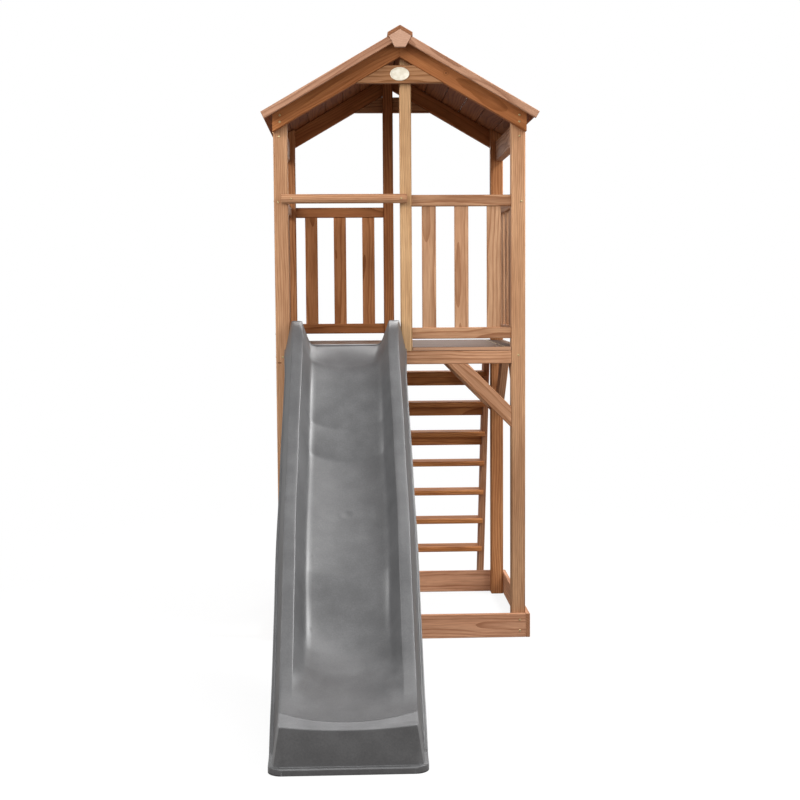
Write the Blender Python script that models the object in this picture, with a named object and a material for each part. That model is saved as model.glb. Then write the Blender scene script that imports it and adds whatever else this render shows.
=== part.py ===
"""Play tower with a wave slide.

A stained pine frame carries a raised deck with railings and a gable roof. A ladder leans on
the back and a hollow moulded slide hangs on the front edge of the deck and stands on the
ground at its foot.

Metres, +Z up. Seen from the slide, X runs to the right and Y to the back. The tower is drawn
from the front faces of its posts (Y = 0) and its middle (X = 0). One empty then carries
everything, so that the origin lies on the ground under the middle of the whole outline.
"""

import math

import bmesh
import bpy
import numpy as np

# Gap that neighbouring pieces keep, and the eased edge of planed timber
CLEAR = 0.0003
EASE = 0.0016

# Frame
TOWER_WIDTH = 1.000
TOWER_DEPTH = 0.838
POST = 0.056
MID_POST = 0.046
BASE_BOARD_H = 0.098
BASE_BOARD_T = 0.0175

# Deck, its rim beams and the knee braces under them
DECK_TOP = 1.184
DECK_BOARD_T = 0.015
DECK_BOARDS = 7
DECK_GAP = 0.006
RIM_H = 0.053
RIM_T = 0.045
BRACE_REACH = 0.260
BRACE_W = 0.060
BRACE_T = 0.034

# Railings and the round bar over the slide, heights above the deck
RAILING_H = 0.606
RAILING_GAP = 0.033
RAIL_H = 0.045
RAIL_T = 0.030
RAIL_SETBACK = 0.008
SLAT_W = 0.056
SLAT_T = 0.016
SLAT_GAP = 0.074
BAY_SLATS = 3
SIDE_SLATS = 5
BAR_D = 0.037
BAR_H = 0.590
BAR_OVERLAP = 0.027
BAR_END_ROUND = 0.006

# Roof, heights above the deck to the top of its boards at the ridge
ROOF_RISE = 1.232
ROOF_PITCH = math.radians(30.0)
ROOF_BOARD_T = 0.015
ROOF_BOARDS = 7
ROOF_GROOVE = 0.003
EAVE_OVERHANG = 0.0424
GABLE_OVERHANG = 0.105
BARGE_T = 0.015
BARGE_H = 0.030
CAP_W = 0.0485
CAP_T = 0.0135
CAP_PROUD = 0.003
BLOCK_SHOULDER = 0.0514
BLOCK_SIDE = 0.0495
RAFTER_H = 0.066
RAFTER_T = 0.036
COLLAR_DROP = 0.194
COLLAR_H = 0.0685
BEAM_H = 0.089
BEAM_T = 0.034
BEAM_DROP = 0.025
PLATE_W = 0.076
PLATE_H = 0.052
PLATE_T = 0.003

# Ladder
LADDER_LEAN = math.radians(15.6)
LADDER_CLEAR = 0.005
TREADS = 7
TOP_TREAD_DROP = 0.149
TREAD_RISE = 0.1452
TREAD_T = 0.0235
TREAD_D = 0.112
TREAD_NOSE = 0.015
HOUSING = 0.012
STRINGER_T = 0.026
STRINGER_D = 0.095
RISERS = 3
RISER_H = 0.043
RISER_T = 0.016
RISER_SETBACK = 0.045

# Slide: run from the post fronts to its foot, heights above the deck and the ground, wall
SLIDE_RUN = 1.558
SLIDE_WALL = 0.006
SLIDE_EAR_H = 0.108
SLIDE_LIP_T = 0.012
SLIDE_LIP_RUN = 0.070
SLIDE_FOOT_H = 0.140
SLIDE_FOOT_BED = 0.128
SLIDE_SKIRT = 0.160
SLIDE_DISH = 0.028
SLIDE_BEAD_W = 0.012
SLIDE_BEAD_H = 0.021
SLIDE_BAND_H = 0.046
SLIDE_BAND_LEDGE = 0.004
SLIDE_FLARE = 0.018
SLIDE_FLANGE = 0.042
SLIDE_CHEEK = 0.038
SLIDE_NOSE = 0.058
SLIDE_NOSE_SLANT = 0.010
SLIDE_CORNER = 0.030
SLIDE_RIBS = 4
SLIDE_RIB_T = 0.006
SLIDE_RIB_DRAFT = 0.001
SLIDE_RIB_RECESS = 0.006
BED_COLUMNS = 5
BED_CREASE = 0.002

# Shape of the slide along its run: shares of the run, with the full width in metres or the
# slope in degrees there. Two shares a hair apart make a moulded crease across the bed.
SLIDE_WIDTHS = ((0.0, 0.488), (0.12, 0.473), (0.33, 0.488), (0.50, 0.494), (0.62, 0.490),
                (0.80, 0.488), (1.0, 0.475))
BED_SLOPES = ((0.0, 8.0), (0.10, 38.0), (0.236, 54.0), (0.237, 44.0), (0.30, 53.0),
              (0.33, 39.0), (0.44, 36.0), (0.54, 38.0), (0.62, 49.0), (0.69, 39.0),
              (0.75, 27.0), (0.82, 18.0), (0.92, 12.0), (1.0, 7.0))
FLANGE_SLOPES = ((0.0, 3.0), (0.05, 20.0), (0.12, 42.0), (0.24, 47.0), (0.34, 44.0),
                 (0.45, 38.0), (0.54, 38.5), (0.64, 43.0), (0.75, 41.0), (0.84, 33.0),
                 (0.92, 22.0), (1.0, 7.0))

HALF = TOWER_WIDTH / 2
INSIDE = HALF - POST
RAFTER_FRONT = -CLEAR - RAFTER_T
RIM_TOP = DECK_TOP - DECK_BOARD_T - CLEAR
RIM_BOTTOM = RIM_TOP - RIM_H
PEAK = DECK_TOP + ROOF_RISE
SLOPE_LENGTH = (HALF + EAVE_OVERHANG) / math.cos(ROOF_PITCH)
SLIDE_X = -INSIDE / 2

# Places of the slide's moulded columns, from its outer edge inwards
WALL_HEAD = SLIDE_BEAD_W + SLIDE_FLARE
FLANGE_EDGE = WALL_HEAD + SLIDE_FLANGE
BED_EDGE = FLANGE_EDGE + SLIDE_CHEEK


def clear_scene():
    """Remove the objects that the file opened with."""
    for thing in list(bpy.data.objects):
        bpy.data.objects.remove(thing, do_unlink=True)


def material(name, colour, roughness):
    """Principled material with a linear base colour."""
    made = bpy.data.materials.new(name)
    made.use_nodes = True
    shader = made.node_tree.nodes["Principled BSDF"]
    shader.inputs["Base Color"].default_value = (*colour, 1.0)
    shader.inputs["Roughness"].default_value = roughness
    shader.inputs["Metallic"].default_value = 0.0
    return made


def place(name, mesh, finish, centre=(0.0, 0.0, 0.0), ease=0.0):
    """Put a mesh in the scene on the tower's datum, with eased edges where asked."""
    piece = bpy.data.objects.new(name, mesh)
    bpy.context.scene.collection.objects.link(piece)
    piece.data.materials.append(finish)
    piece.location = centre
    piece.parent = DATUM
    if ease > 0.0:
        bevel = piece.modifiers.new("eased_edges", "BEVEL")
        bevel.width = ease
        bevel.segments = 1
        bevel.limit_method = "ANGLE"
        bevel.angle_limit = math.radians(35.0)
    return piece


def board(name, low, high, finish, ease=EASE):
    """Square-cut timber between two corners."""
    middle = [(a + b) / 2 for a, b in zip(low, high)]
    size = [b - a for a, b in zip(low, high)]
    work = bmesh.new()
    bmesh.ops.create_cube(work, size=1.0)
    bmesh.ops.scale(work, vec=size, verts=work.verts)
    mesh = bpy.data.meshes.new(name)
    work.to_mesh(mesh)
    work.free()
    return place(name, mesh, finish, middle, ease)


def prism(name, outline, axis, low, high, finish, ease=EASE):
    """Timber cut to an outline and as thick as low to high along axis X, Y or Z.

    The outline's two values are Y and Z, X and Z, or X and Y, in that order.
    """
    work = bmesh.new()
    slot = "XYZ".index(axis)
    verts = [work.verts.new((*point[:slot], low, *point[slot:])) for point in outline]
    face = work.faces.new(verts)
    grown = bmesh.ops.extrude_face_region(work, geom=[face])
    moved = [item for item in grown["geom"] if isinstance(item, bmesh.types.BMVert)]
    step = [0.0, 0.0, 0.0]
    step[slot] = high - low
    bmesh.ops.translate(work, vec=step, verts=moved)
    bmesh.ops.recalc_face_normals(work, faces=work.faces)
    mesh = bpy.data.meshes.new(name)
    work.to_mesh(mesh)
    work.free()
    return place(name, mesh, finish, ease=ease)


def loft(name, rings, finish):
    """Closed body through rings of equally many points, with both ends filled."""
    work = bmesh.new()
    loops = [[work.verts.new(point) for point in ring] for ring in rings]
    count = len(loops[0])
    for near, far in zip(loops, loops[1:]):
        for k in range(count):
            after = (k + 1) % count
            work.faces.new((near[k], near[after], far[after], far[k]))
    work.faces.new(loops[0])
    work.faces.new(loops[-1])
    bmesh.ops.recalc_face_normals(work, faces=work.faces)
    mesh = bpy.data.meshes.new(name)
    work.to_mesh(mesh)
    work.free()
    return place(name, mesh, finish)


def joined_cells(name, xs, ys, zs, filled, finish, ease=0.0):
    """One body made of the filled cells between the given planes, with shared corners.

    filled(i, j, k) says whether the cell right of plane i, behind plane j and above plane k
    is timber.
    """
    shape = (len(xs) - 1, len(ys) - 1, len(zs) - 1)
    cells = np.zeros([n + 2 for n in shape], dtype=bool)
    for i, j, k in np.ndindex(shape):
        cells[i + 1, j + 1, k + 1] = filled(i, j, k)
    work = bmesh.new()
    corners = {}

    def corner(i, j, k):
        if (i, j, k) not in corners:
            corners[i, j, k] = work.verts.new((xs[i], ys[j], zs[k]))
        return corners[i, j, k]

    for i, j, k in np.ndindex(shape):
        if not cells[i + 1, j + 1, k + 1]:
            continue
        for axis in range(3):
            for side in (0, 1):
                near = [i + 1, j + 1, k + 1]
                near[axis] += 2 * side - 1
                if cells[tuple(near)]:
                    continue
                square = []
                for a, b in ((0, 0), (1, 0), (1, 1), (0, 1)):
                    at = [i, j, k]
                    at[axis] += side
                    at[(axis + 1) % 3] += a
                    at[(axis + 2) % 3] += b
                    square.append(corner(*at))
                work.faces.new(square if side else square[::-1])
    mesh = bpy.data.meshes.new(name)
    work.to_mesh(mesh)
    work.free()
    return place(name, mesh, finish, ease=ease)


def soffit(x):
    """Height of the underside of the roof boards."""
    return PEAK - ROOF_BOARD_T / math.cos(ROOF_PITCH) - abs(x) * math.tan(ROOF_PITCH)


def rafter_underside(x):
    """Height of the lower edge of the rafters."""
    drop = (ROOF_BOARD_T + CLEAR + RAFTER_H) / math.cos(ROOF_PITCH)
    return PEAK - drop - abs(x) * math.tan(ROOF_PITCH)


def on_slope(side, along, deep):
    """X and Z of a point on a roof slope, given its run from the ridge and its depth."""
    x = along * math.cos(ROOF_PITCH) - deep * math.sin(ROOF_PITCH)
    z = PEAK - along * math.sin(ROOF_PITCH) - deep * math.cos(ROOF_PITCH)
    return side * x, z


def make_post(name, x_low, x_high, y_low, y_high, foot):
    """Upright whose head is cut to the slope of the roof."""
    outline = [(x_low, foot), (x_high, foot), (x_high, soffit(x_high) - CLEAR),
               (x_low, soffit(x_low) - CLEAR)]
    prism(name, outline, "Y", y_low, y_high, TIMBER)


def make_posts():
    """Four corner posts on the ground and two middle posts on the rim beams."""
    rear = TOWER_DEPTH
    for end, y_low, y_high in (("front", 0.0, POST), ("back", rear - POST, rear)):
        make_post(f"{end}_left_post", -HALF, -INSIDE, y_low, y_high, 0.0)
        make_post(f"{end}_right_post", INSIDE, HALF, y_low, y_high, 0.0)
    foot = RIM_TOP + CLEAR
    make_post("front_middle_post", 0.0, MID_POST, 0.0, MID_POST, foot)
    make_post("back_middle_post", -MID_POST, 0.0, rear - MID_POST, rear, foot)


def make_base_boards():
    """Boards on edge round the feet of the posts, the sandpit's edge."""
    out = BASE_BOARD_T
    rear = TOWER_DEPTH
    board("front_base_board", (-HALF, -out, 0.0), (HALF, -CLEAR, BASE_BOARD_H), TIMBER)
    board("back_base_board", (-HALF, rear + CLEAR, 0.0), (HALF, rear + out, BASE_BOARD_H), TIMBER)
    for word, side in (("left", -1), ("right", 1)):
        faces = sorted((side * (HALF + CLEAR), side * (HALF + out)))
        low = (faces[0], -out, 0.0)
        high = (faces[1], rear + out, BASE_BOARD_H)
        board(f"{word}_base_board", low, high, TIMBER)


def make_rim_beams():
    """Beams between the posts that carry the deck."""
    rear = TOWER_DEPTH
    reach = INSIDE - CLEAR
    board("front_rim_beam", (-reach, 0.0, RIM_BOTTOM), (reach, RIM_T, RIM_TOP), TIMBER)
    board("back_rim_beam", (-reach, rear - RIM_T, RIM_BOTTOM), (reach, rear, RIM_TOP), TIMBER)
    start = POST + CLEAR
    for word, side in (("left", -1), ("right", 1)):
        faces = sorted((side * HALF, side * (HALF - RIM_T)))
        low = (faces[0], start, RIM_BOTTOM)
        high = (faces[1], rear - start, RIM_TOP)
        board(f"{word}_rim_beam", low, high, TIMBER)


def end_deck_board(name, back):
    """Outer deck board, notched round the corner posts and its middle post."""
    width = (TOWER_DEPTH - (DECK_BOARDS - 1) * DECK_GAP) / DECK_BOARDS
    left, right = (-MID_POST, 0.0) if back else (0.0, MID_POST)
    xs = [-HALF, -INSIDE + CLEAR, left - CLEAR, right + CLEAR, INSIDE - CLEAR, HALF]
    depths = [0.0, MID_POST + CLEAR, POST + CLEAR, width]
    ys = [TOWER_DEPTH - depth for depth in depths[::-1]] if back else depths
    corner_columns = (0, 4)
    middle_column = 2

    def filled(i, j, k):
        from_edge = 2 - j if back else j
        if i in corner_columns:
            return from_edge == 2
        if i == middle_column:
            return from_edge >= 1
        return True

    zs = [DECK_TOP - DECK_BOARD_T, DECK_TOP]
    joined_cells(name, xs, ys, zs, filled, TIMBER, EASE)


def make_deck():
    """Boards from side to side, with a gap between them for the rain."""
    width = (TOWER_DEPTH - (DECK_BOARDS - 1) * DECK_GAP) / DECK_BOARDS
    end_deck_board("deck_board_1", back=False)
    for number in range(2, DECK_BOARDS):
        start = (number - 1) * (width + DECK_GAP)
        low = (-HALF, start, DECK_TOP - DECK_BOARD_T)
        high = (HALF, start + width, DECK_TOP)
        if start < POST + CLEAR:
            low = (-INSIDE + CLEAR, low[1], low[2])
            high = (INSIDE - CLEAR, high[1], high[2])
        board(f"deck_board_{number}", low, high, TIMBER)
    end_deck_board(f"deck_board_{DECK_BOARDS}", back=True)


def brace_outline(post_face, direction):
    """Knee brace at 45 degrees between the rim beam above and a post at one side."""
    across = BRACE_W * math.sqrt(2.0)
    top = RIM_BOTTOM - CLEAR
    face = post_face - direction * CLEAR
    return [(face - direction * BRACE_REACH, top),
            (face - direction * (BRACE_REACH - across), top),
            (face, top - (BRACE_REACH - across)),
            (face, top - BRACE_REACH)]


def make_braces():
    """Knee braces under the right bays and in both side frames."""
    rear = TOWER_DEPTH
    right = brace_outline(INSIDE, 1)
    prism("front_right_brace", right, "Y", 0.0, BRACE_T, TIMBER)
    prism("back_right_brace", right, "Y", rear - BRACE_T, rear, TIMBER)
    for word, side in (("left", -1), ("right", 1)):
        faces = sorted((side * HALF, side * (HALF - BRACE_T)))
        prism(f"{word}_side_front_brace", brace_outline(POST, -1), "X", *faces, TIMBER)
        prism(f"{word}_side_back_brace", brace_outline(rear - POST, 1), "X", *faces, TIMBER)


def slat_planes(start, end, count):
    """Edges of the slats of a railing, spread evenly about the middle of its bay."""
    pitch = SLAT_W + SLAT_GAP
    middle = (start + end) / 2
    first = middle - (count - 1) * pitch / 2 - SLAT_W / 2
    planes = [start]
    for number in range(count):
        planes += [first + number * pitch, first + number * pitch + SLAT_W]
    return planes + [end]


def make_railing(name, start, end, outer, inward, count, turned):
    """Two rails with slats let into them, in a bay from start to end.

    outer is the outer face of the posts and inward the direction into the tower. turned puts
    the railing's length along Y.
    """
    lengths = slat_planes(start + CLEAR, end - CLEAR, count)
    face = outer + inward * RAIL_SETBACK
    recess = (RAIL_T - SLAT_T) / 2
    depths = sorted(face + inward * d for d in (0.0, recess, recess + SLAT_T, RAIL_T))
    low = DECK_TOP + RAILING_GAP
    high = DECK_TOP + RAILING_H
    zs = [low, low + RAIL_H, high - RAIL_H, high]

    def filled(i, j, k):
        along, across = (j, i) if turned else (i, j)
        is_rail = k != 1
        is_slat = along % 2 == 1 and across == 1
        return is_rail or is_slat

    xs, ys = (depths, lengths) if turned else (lengths, depths)
    joined_cells(name, xs, ys, zs, filled, TIMBER, EASE)


def make_railings():
    """Railings in the four bays that have neither the slide nor the ladder."""
    rear = TOWER_DEPTH
    make_railing("front_railing", MID_POST, INSIDE, 0.0, 1, BAY_SLATS, turned=False)
    make_railing("back_railing", -INSIDE, -MID_POST, rear, -1, BAY_SLATS, turned=False)
    make_railing("left_railing", POST, rear - POST, -HALF, 1, SIDE_SLATS, turned=True)
    make_railing("right_railing", POST, rear - POST, HALF, -1, SIDE_SLATS, turned=True)


def make_handrail():
    """Round bar across the posts over the slide."""
    start = -INSIDE - BAR_OVERLAP
    end = BAR_OVERLAP
    work = bmesh.new()
    bmesh.ops.create_cone(work, cap_ends=True, segments=20, radius1=BAR_D / 2, radius2=BAR_D / 2,
                          depth=end - start)
    mesh = bpy.data.meshes.new("handrail_bar")
    work.to_mesh(mesh)
    work.free()
    centre = ((start + end) / 2, -BAR_D / 2 - CLEAR, DECK_TOP + BAR_H)
    piece = place("handrail_bar", mesh, TIMBER, centre)
    piece.rotation_euler = (0.0, math.pi / 2, 0.0)
    bevel = piece.modifiers.new("rounded_ends", "BEVEL")
    bevel.width = BAR_END_ROUND
    bevel.segments = 2
    bevel.limit_method = "ANGLE"
    bevel.angle_limit = math.radians(60.0)


def make_side_beams():
    """Beams under the eaves, between the posts."""
    top = soffit(HALF) - BEAM_DROP
    start = POST + CLEAR
    for word, side in (("left", -1), ("right", 1)):
        faces = sorted((side * HALF, side * (HALF - BEAM_T)))
        low = (faces[0], start, top - BEAM_H)
        high = (faces[1], TOWER_DEPTH - start, top)
        board(f"{word}_top_beam", low, high, TIMBER)


def make_gable(end, y_low, y_high):
    """Two rafters that meet at the ridge, and the collar tie between them."""
    for word, side in (("left", -1), ("right", 1)):
        near = side * CLEAR / 2
        far = side * HALF
        outline = [(near, rafter_underside(near)), (far, rafter_underside(far)),
                   (far, soffit(far) - CLEAR), (near, soffit(near) - CLEAR)]
        prism(f"{end}_{word}_rafter", outline, "Y", y_low, y_high, TIMBER)
    low = PEAK - COLLAR_DROP
    high = low + COLLAR_H
    gap = CLEAR / math.sin(ROOF_PITCH)
    lean = 1.0 / math.tan(ROOF_PITCH)
    wide = (rafter_underside(0.0) - low) * lean - gap
    narrow = (rafter_underside(0.0) - high) * lean - gap
    outline = [(-wide, low), (wide, low), (narrow, high), (-narrow, high)]
    prism(f"{end}_collar_tie", outline, "Y", y_low, y_high, TIMBER)


def roof_ring(side, y, start, is_barge):
    """Section of one roof slope: grooved boards, or the plain barge strip over their ends."""
    deep = BARGE_H if is_barge else ROOF_BOARD_T
    groove = 0.0 if is_barge else ROOF_GROOVE
    ridge_foot = start if is_barge else start + deep * math.tan(ROOF_PITCH)
    width = SLOPE_LENGTH / ROOF_BOARDS
    above = [(start, 0.0)]
    below = [(ridge_foot, deep)]
    for number in range(1, ROOF_BOARDS):
        joint = number * width
        for shift, cut in ((-ROOF_GROOVE, 0.0), (0.0, groove), (ROOF_GROOVE, 0.0)):
            above.append((joint + shift, cut))
            below.append((joint + shift, deep - cut))
    above.append((SLOPE_LENGTH, 0.0))
    below.append((SLOPE_LENGTH, deep))
    ring = []
    for along, depth in above + below[::-1]:
        x, z = on_slope(side, along, depth)
        ring.append((x, y, z))
    return ring


def make_roof():
    """Two slopes of grooved boards, their ridge caps and the blocks that end the ridge."""
    front = -GABLE_OVERHANG
    back = TOWER_DEPTH + GABLE_OVERHANG
    step = 0.001
    ridge_start = CLEAR / 2 / math.cos(ROOF_PITCH)
    barge_start = BLOCK_SHOULDER + CLEAR
    cap_gap = CLEAR / math.cos(ROOF_PITCH)
    cap_rise = cap_gap + CAP_T / math.cos(ROOF_PITCH)
    fall = CAP_W * math.tan(ROOF_PITCH)
    for word, side in (("left", -1), ("right", 1)):
        rings = [roof_ring(side, front, barge_start, True),
                 roof_ring(side, front + BARGE_T, barge_start, True),
                 roof_ring(side, front + BARGE_T + step, ridge_start, False),
                 roof_ring(side, back - BARGE_T - step, ridge_start, False),
                 roof_ring(side, back - BARGE_T, barge_start, True),
                 roof_ring(side, back, barge_start, True)]
        loft(f"{word}_roof_boards", rings, TIMBER)
        near = side * CLEAR / 2
        outline = [(near, PEAK + cap_gap), (side * CAP_W, PEAK + cap_gap - fall),
                   (side * CAP_W, PEAK + cap_rise - fall), (near, PEAK + cap_rise)]
        prism(f"{word}_ridge_cap", outline, "Y", front - CAP_PROUD, back + CAP_PROUD, TIMBER)
    shoulder = on_slope(1, BLOCK_SHOULDER, 0.0)
    chin = on_slope(1, BLOCK_SHOULDER, BLOCK_SIDE)
    outline = [(0.0, PEAK), shoulder, chin, (-chin[0], chin[1]), (-shoulder[0], shoulder[1])]
    inner = GABLE_OVERHANG - BARGE_T + CLEAR
    outer = GABLE_OVERHANG + CAP_PROUD
    prism("front_ridge_block", outline, "Y", -outer, -inner, TIMBER)
    rear = TOWER_DEPTH
    prism("back_ridge_block", outline, "Y", rear + inner, rear + outer, TIMBER)


def make_plate():
    """Bare oval plate on the front collar tie, with a rounded edge."""
    rings = []
    outer = RAFTER_FRONT - CLEAR
    middle = PEAK - COLLAR_DROP + COLLAR_H / 2
    steps = ((1.0, 0.0), (1.0, 0.5), (0.93, 1.0))
    for scale, depth in steps:
        ring = []
        for turn in np.linspace(0.0, 2.0 * math.pi, 33)[:-1]:
            x = scale * PLATE_W / 2 * math.cos(turn)
            z = middle + scale * PLATE_H / 2 * math.sin(turn)
            ring.append((x, outer - depth * PLATE_T, z))
        rings.append(ring)
    loft("oval_plate", rings, PLATE_PAINT)


def tread_front(height):
    """Front of a tread at a height, on the line that the ladder leans along."""
    top_tread = DECK_TOP - TOP_TREAD_DROP
    return TOWER_DEPTH + LADDER_CLEAR + math.tan(LADDER_LEAN) * (top_tread - height)


def tread_tops():
    """Heights of the treads from the top one down."""
    return [DECK_TOP - TOP_TREAD_DROP - number * TREAD_RISE for number in range(TREADS)]


def stringer_back(height):
    """Back edge of the stringers at a height."""
    return tread_front(height) + TREAD_NOSE + STRINGER_D / math.cos(LADDER_LEAN)


def housing_cutter(x_low, x_high):
    """Slots for the treads, one block for each, which only cut and aren't pieces."""
    work = bmesh.new()
    for top in tread_tops():
        low = top - TREAD_T - CLEAR
        high = top + CLEAR
        front = tread_front(top) - TREAD_D
        back = tread_front(top) + 2 * TREAD_D
        made = bmesh.ops.create_cube(work, size=1.0)
        size = (x_high - x_low, back - front, high - low)
        middle = ((x_low + x_high) / 2, (front + back) / 2, (low + high) / 2)
        bmesh.ops.scale(work, vec=size, verts=made["verts"])
        bmesh.ops.translate(work, vec=middle, verts=made["verts"])
    mesh = bpy.data.meshes.new("housing_cutter")
    work.to_mesh(mesh)
    work.free()
    cutter = place("housing_cutter", mesh, TIMBER)
    cutter.hide_render = True
    cutter.display_type = "WIRE"
    return cutter


def make_ladder():
    """Two leaning stringers with the treads housed in them, and three gap-narrowing risers."""
    rim_face = TOWER_DEPTH + CLEAR
    top_tread = DECK_TOP - TOP_TREAD_DROP
    ahead = tread_front(top_tread) + TREAD_NOSE - rim_face
    meet = top_tread + ahead / math.tan(LADDER_LEAN)
    outline = [(tread_front(0.0) + TREAD_NOSE, 0.0), (stringer_back(0.0), 0.0),
               (stringer_back(RIM_TOP), RIM_TOP), (rim_face, RIM_TOP), (rim_face, meet)]
    left = (0.0, STRINGER_T)
    right = (INSIDE - STRINGER_T, INSIDE)
    for word, faces, cut in (("left", left, (left[1] - HOUSING, left[1] + HOUSING)),
                             ("right", right, (right[0] - HOUSING, right[0] + HOUSING))):
        piece = prism(f"{word}_stringer", outline, "X", *faces, TIMBER)
        slots = piece.modifiers.new("tread_housings", "BOOLEAN")
        slots.operation = "DIFFERENCE"
        slots.solver = "EXACT"
        slots.object = housing_cutter(*cut)
    tread_low = left[1] - HOUSING + CLEAR
    tread_high = right[0] + HOUSING - CLEAR
    for number, top in enumerate(tread_tops(), start=1):
        front = tread_front(top)
        low = (tread_low, front, top - TREAD_T)
        high = (tread_high, front + TREAD_D, top)
        board(f"tread_{number}", low, high, TIMBER)
        if number <= RISERS:
            head = top - TREAD_T - CLEAR
            low = (left[1] + CLEAR, front + RISER_SETBACK, head - RISER_H)
            high = (right[0] - CLEAR, front + RISER_SETBACK + RISER_T, head)
            board(f"riser_{number}", low, high, TIMBER)


def falling_line(shares, slopes, top, foot):
    """Heights along the run: the listed slopes added up and stretched to the real fall."""
    fine = np.linspace(0.0, 1.0, 801)
    places = [share for share, _ in slopes]
    rates = np.interp(fine, places, np.tan(np.radians([angle for _, angle in slopes])))
    fall = np.concatenate(([0.0], np.cumsum((rates[1:] + rates[:-1]) / 2)))
    return top - (top - foot) * np.interp(shares, fine, fall / fall[-1])


def eased_line(shares, points):
    """Values between control points, blended with a level start and end at each point."""
    places = np.array([share for share, _ in points])
    values = np.array([value for _, value in points])
    index = np.clip(np.searchsorted(places, shares, side="right") - 1, 0, len(places) - 2)
    part = np.clip((shares - places[index]) / (places[index + 1] - places[index]), 0.0, 1.0)
    blend = part * part * (3.0 - 2.0 * part)
    return values[index] + (values[index + 1] - values[index]) * blend


def slide_stations():
    """Distances from the post fronts to the foot, and which of them lie on a cross rib."""
    bed_end = SLIDE_RUN - SLIDE_NOSE
    shares = [share for share, _ in BED_SLOPES]
    middles = [(a + b) / 2 for a, b in zip(shares, shares[1:]) if b - a > BED_CREASE]
    places = [CLEAR + share * (bed_end - CLEAR) for share in shares + middles]
    ribs = []
    for number in range(1, SLIDE_RIBS + 1):
        middle = bed_end * number / (SLIDE_RIBS + 1)
        faces = [middle - SLIDE_RIB_T / 2, middle + SLIDE_RIB_T / 2]
        reach = SLIDE_RIB_T + 2 * SLIDE_RIB_DRAFT
        places = [place for place in places if abs(place - middle) > reach]
        places += [faces[0] - SLIDE_RIB_DRAFT, *faces, faces[1] + SLIDE_RIB_DRAFT]
        ribs += faces
    wall_foot = SLIDE_RUN - SLIDE_BEAD_W
    wall_head = wall_foot - SLIDE_NOSE_SLANT
    foot = [wall_head - SLIDE_WALL, wall_head, wall_foot - SLIDE_WALL, wall_foot,
            SLIDE_RUN - SLIDE_BEAD_W / 3, SLIDE_RUN]
    runs = np.array(sorted(places) + foot)
    return runs, np.isin(runs, ribs)


def slide_band(shares, skirt):
    """Ledge and top of the band along the lower edge, which turns into the bead of the foot."""
    ledge = eased_line(shares, ((0.0, SLIDE_BAND_LEDGE), (1.0, SLIDE_BEAD_W)))
    return ledge, skirt + eased_line(shares, ((0.0, SLIDE_BAND_H), (1.0, SLIDE_BEAD_H)))


def slide_outer(runs):
    """Upper surface of the slide before its front wall, and the height of its lower edge."""
    bed_end = SLIDE_RUN - SLIDE_NOSE
    shares = np.clip((runs - CLEAR) / (bed_end - CLEAR), 0.0, 1.0)
    flange = falling_line(shares, FLANGE_SLOPES, DECK_TOP + SLIDE_EAR_H, SLIDE_FOOT_H)
    bed = falling_line(shares, BED_SLOPES, DECK_TOP + SLIDE_LIP_T, SLIDE_FOOT_BED)
    dish = eased_line(shares, ((0.0, 0.0), (0.13, SLIDE_DISH), (0.85, SLIDE_DISH),
                               (1.0, SLIDE_FOOT_H - SLIDE_FOOT_BED)))
    edge = np.minimum(bed + dish, flange)
    skirt = np.maximum(flange - SLIDE_SKIRT, 0.0)
    ledge, brow = slide_band(shares, skirt)
    wall = flange - brow
    cheek = flange - edge
    width = eased_line(runs / SLIDE_RUN, SLIDE_WIDTHS)
    turn = np.clip(runs - SLIDE_RUN + SLIDE_CORNER, 0.0, SLIDE_CORNER)
    half = width / 2 - SLIDE_CORNER + np.sqrt(SLIDE_CORNER ** 2 - turn ** 2)
    columns = [(0.0, brow), (ledge, brow),
               (WALL_HEAD - 0.08 * (WALL_HEAD - ledge), flange - 0.08 * wall),
               (WALL_HEAD + 0.04 * SLIDE_FLANGE, flange - 0.02 * wall),
               (WALL_HEAD + 0.18 * SLIDE_FLANGE, flange),
               (FLANGE_EDGE - 0.16 * SLIDE_FLANGE, flange),
               (FLANGE_EDGE - 0.02 * SLIDE_FLANGE, flange - 0.04 * cheek),
               (FLANGE_EDGE + 0.10 * SLIDE_CHEEK, flange - 0.16 * cheek),
               (BED_EDGE - 0.26 * SLIDE_CHEEK, edge + 0.14 * cheek), (BED_EDGE, edge)]
    xs = [offset - half for offset, _ in columns]
    heights = [height for _, height in columns]
    for number in range(BED_COLUMNS - 1, -1, -1):
        share = number / BED_COLUMNS
        xs.append((BED_EDGE - half) * share)
        heights.append(bed + (edge - bed) * share ** 2)
    xs = np.array(xs).T
    heights = np.array(heights).T
    xs = np.hstack((xs, -xs[:, -2::-1]))
    heights = np.hstack((heights, heights[:, -2::-1]))
    return xs, heights, skirt, brow


def slide_inner(runs, xs, heights, skirt):
    """Lower surface: the upper one moved in square to itself by the wall."""
    ahead = np.stack((np.diff(xs, axis=1), np.diff(heights, axis=1)))
    ahead /= np.hypot(*ahead)
    normals = np.stack((ahead[1], -ahead[0]))
    before = np.concatenate((normals[:, :, :1], normals), axis=2)
    after = np.concatenate((normals, normals[:, :, -1:]), axis=2)
    corner = before + after
    corner *= 2.0 * SLIDE_WALL / np.sum(corner ** 2, axis=0)
    steepness = np.hypot(1.0, np.gradient(heights, runs, axis=0))
    low_xs = xs + corner[0]
    low_zs = heights + corner[1] * steepness
    low_xs[:, 0], low_xs[:, -1] = xs[:, 0], xs[:, -1]
    low_xs[:, 1], low_xs[:, -2] = xs[:, 1] + SLIDE_WALL, xs[:, -2] - SLIDE_WALL
    for column in (0, 1, -2, -1):
        low_zs[:, column] = skirt
    return low_xs, np.maximum(low_zs, skirt[:, None])


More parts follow.
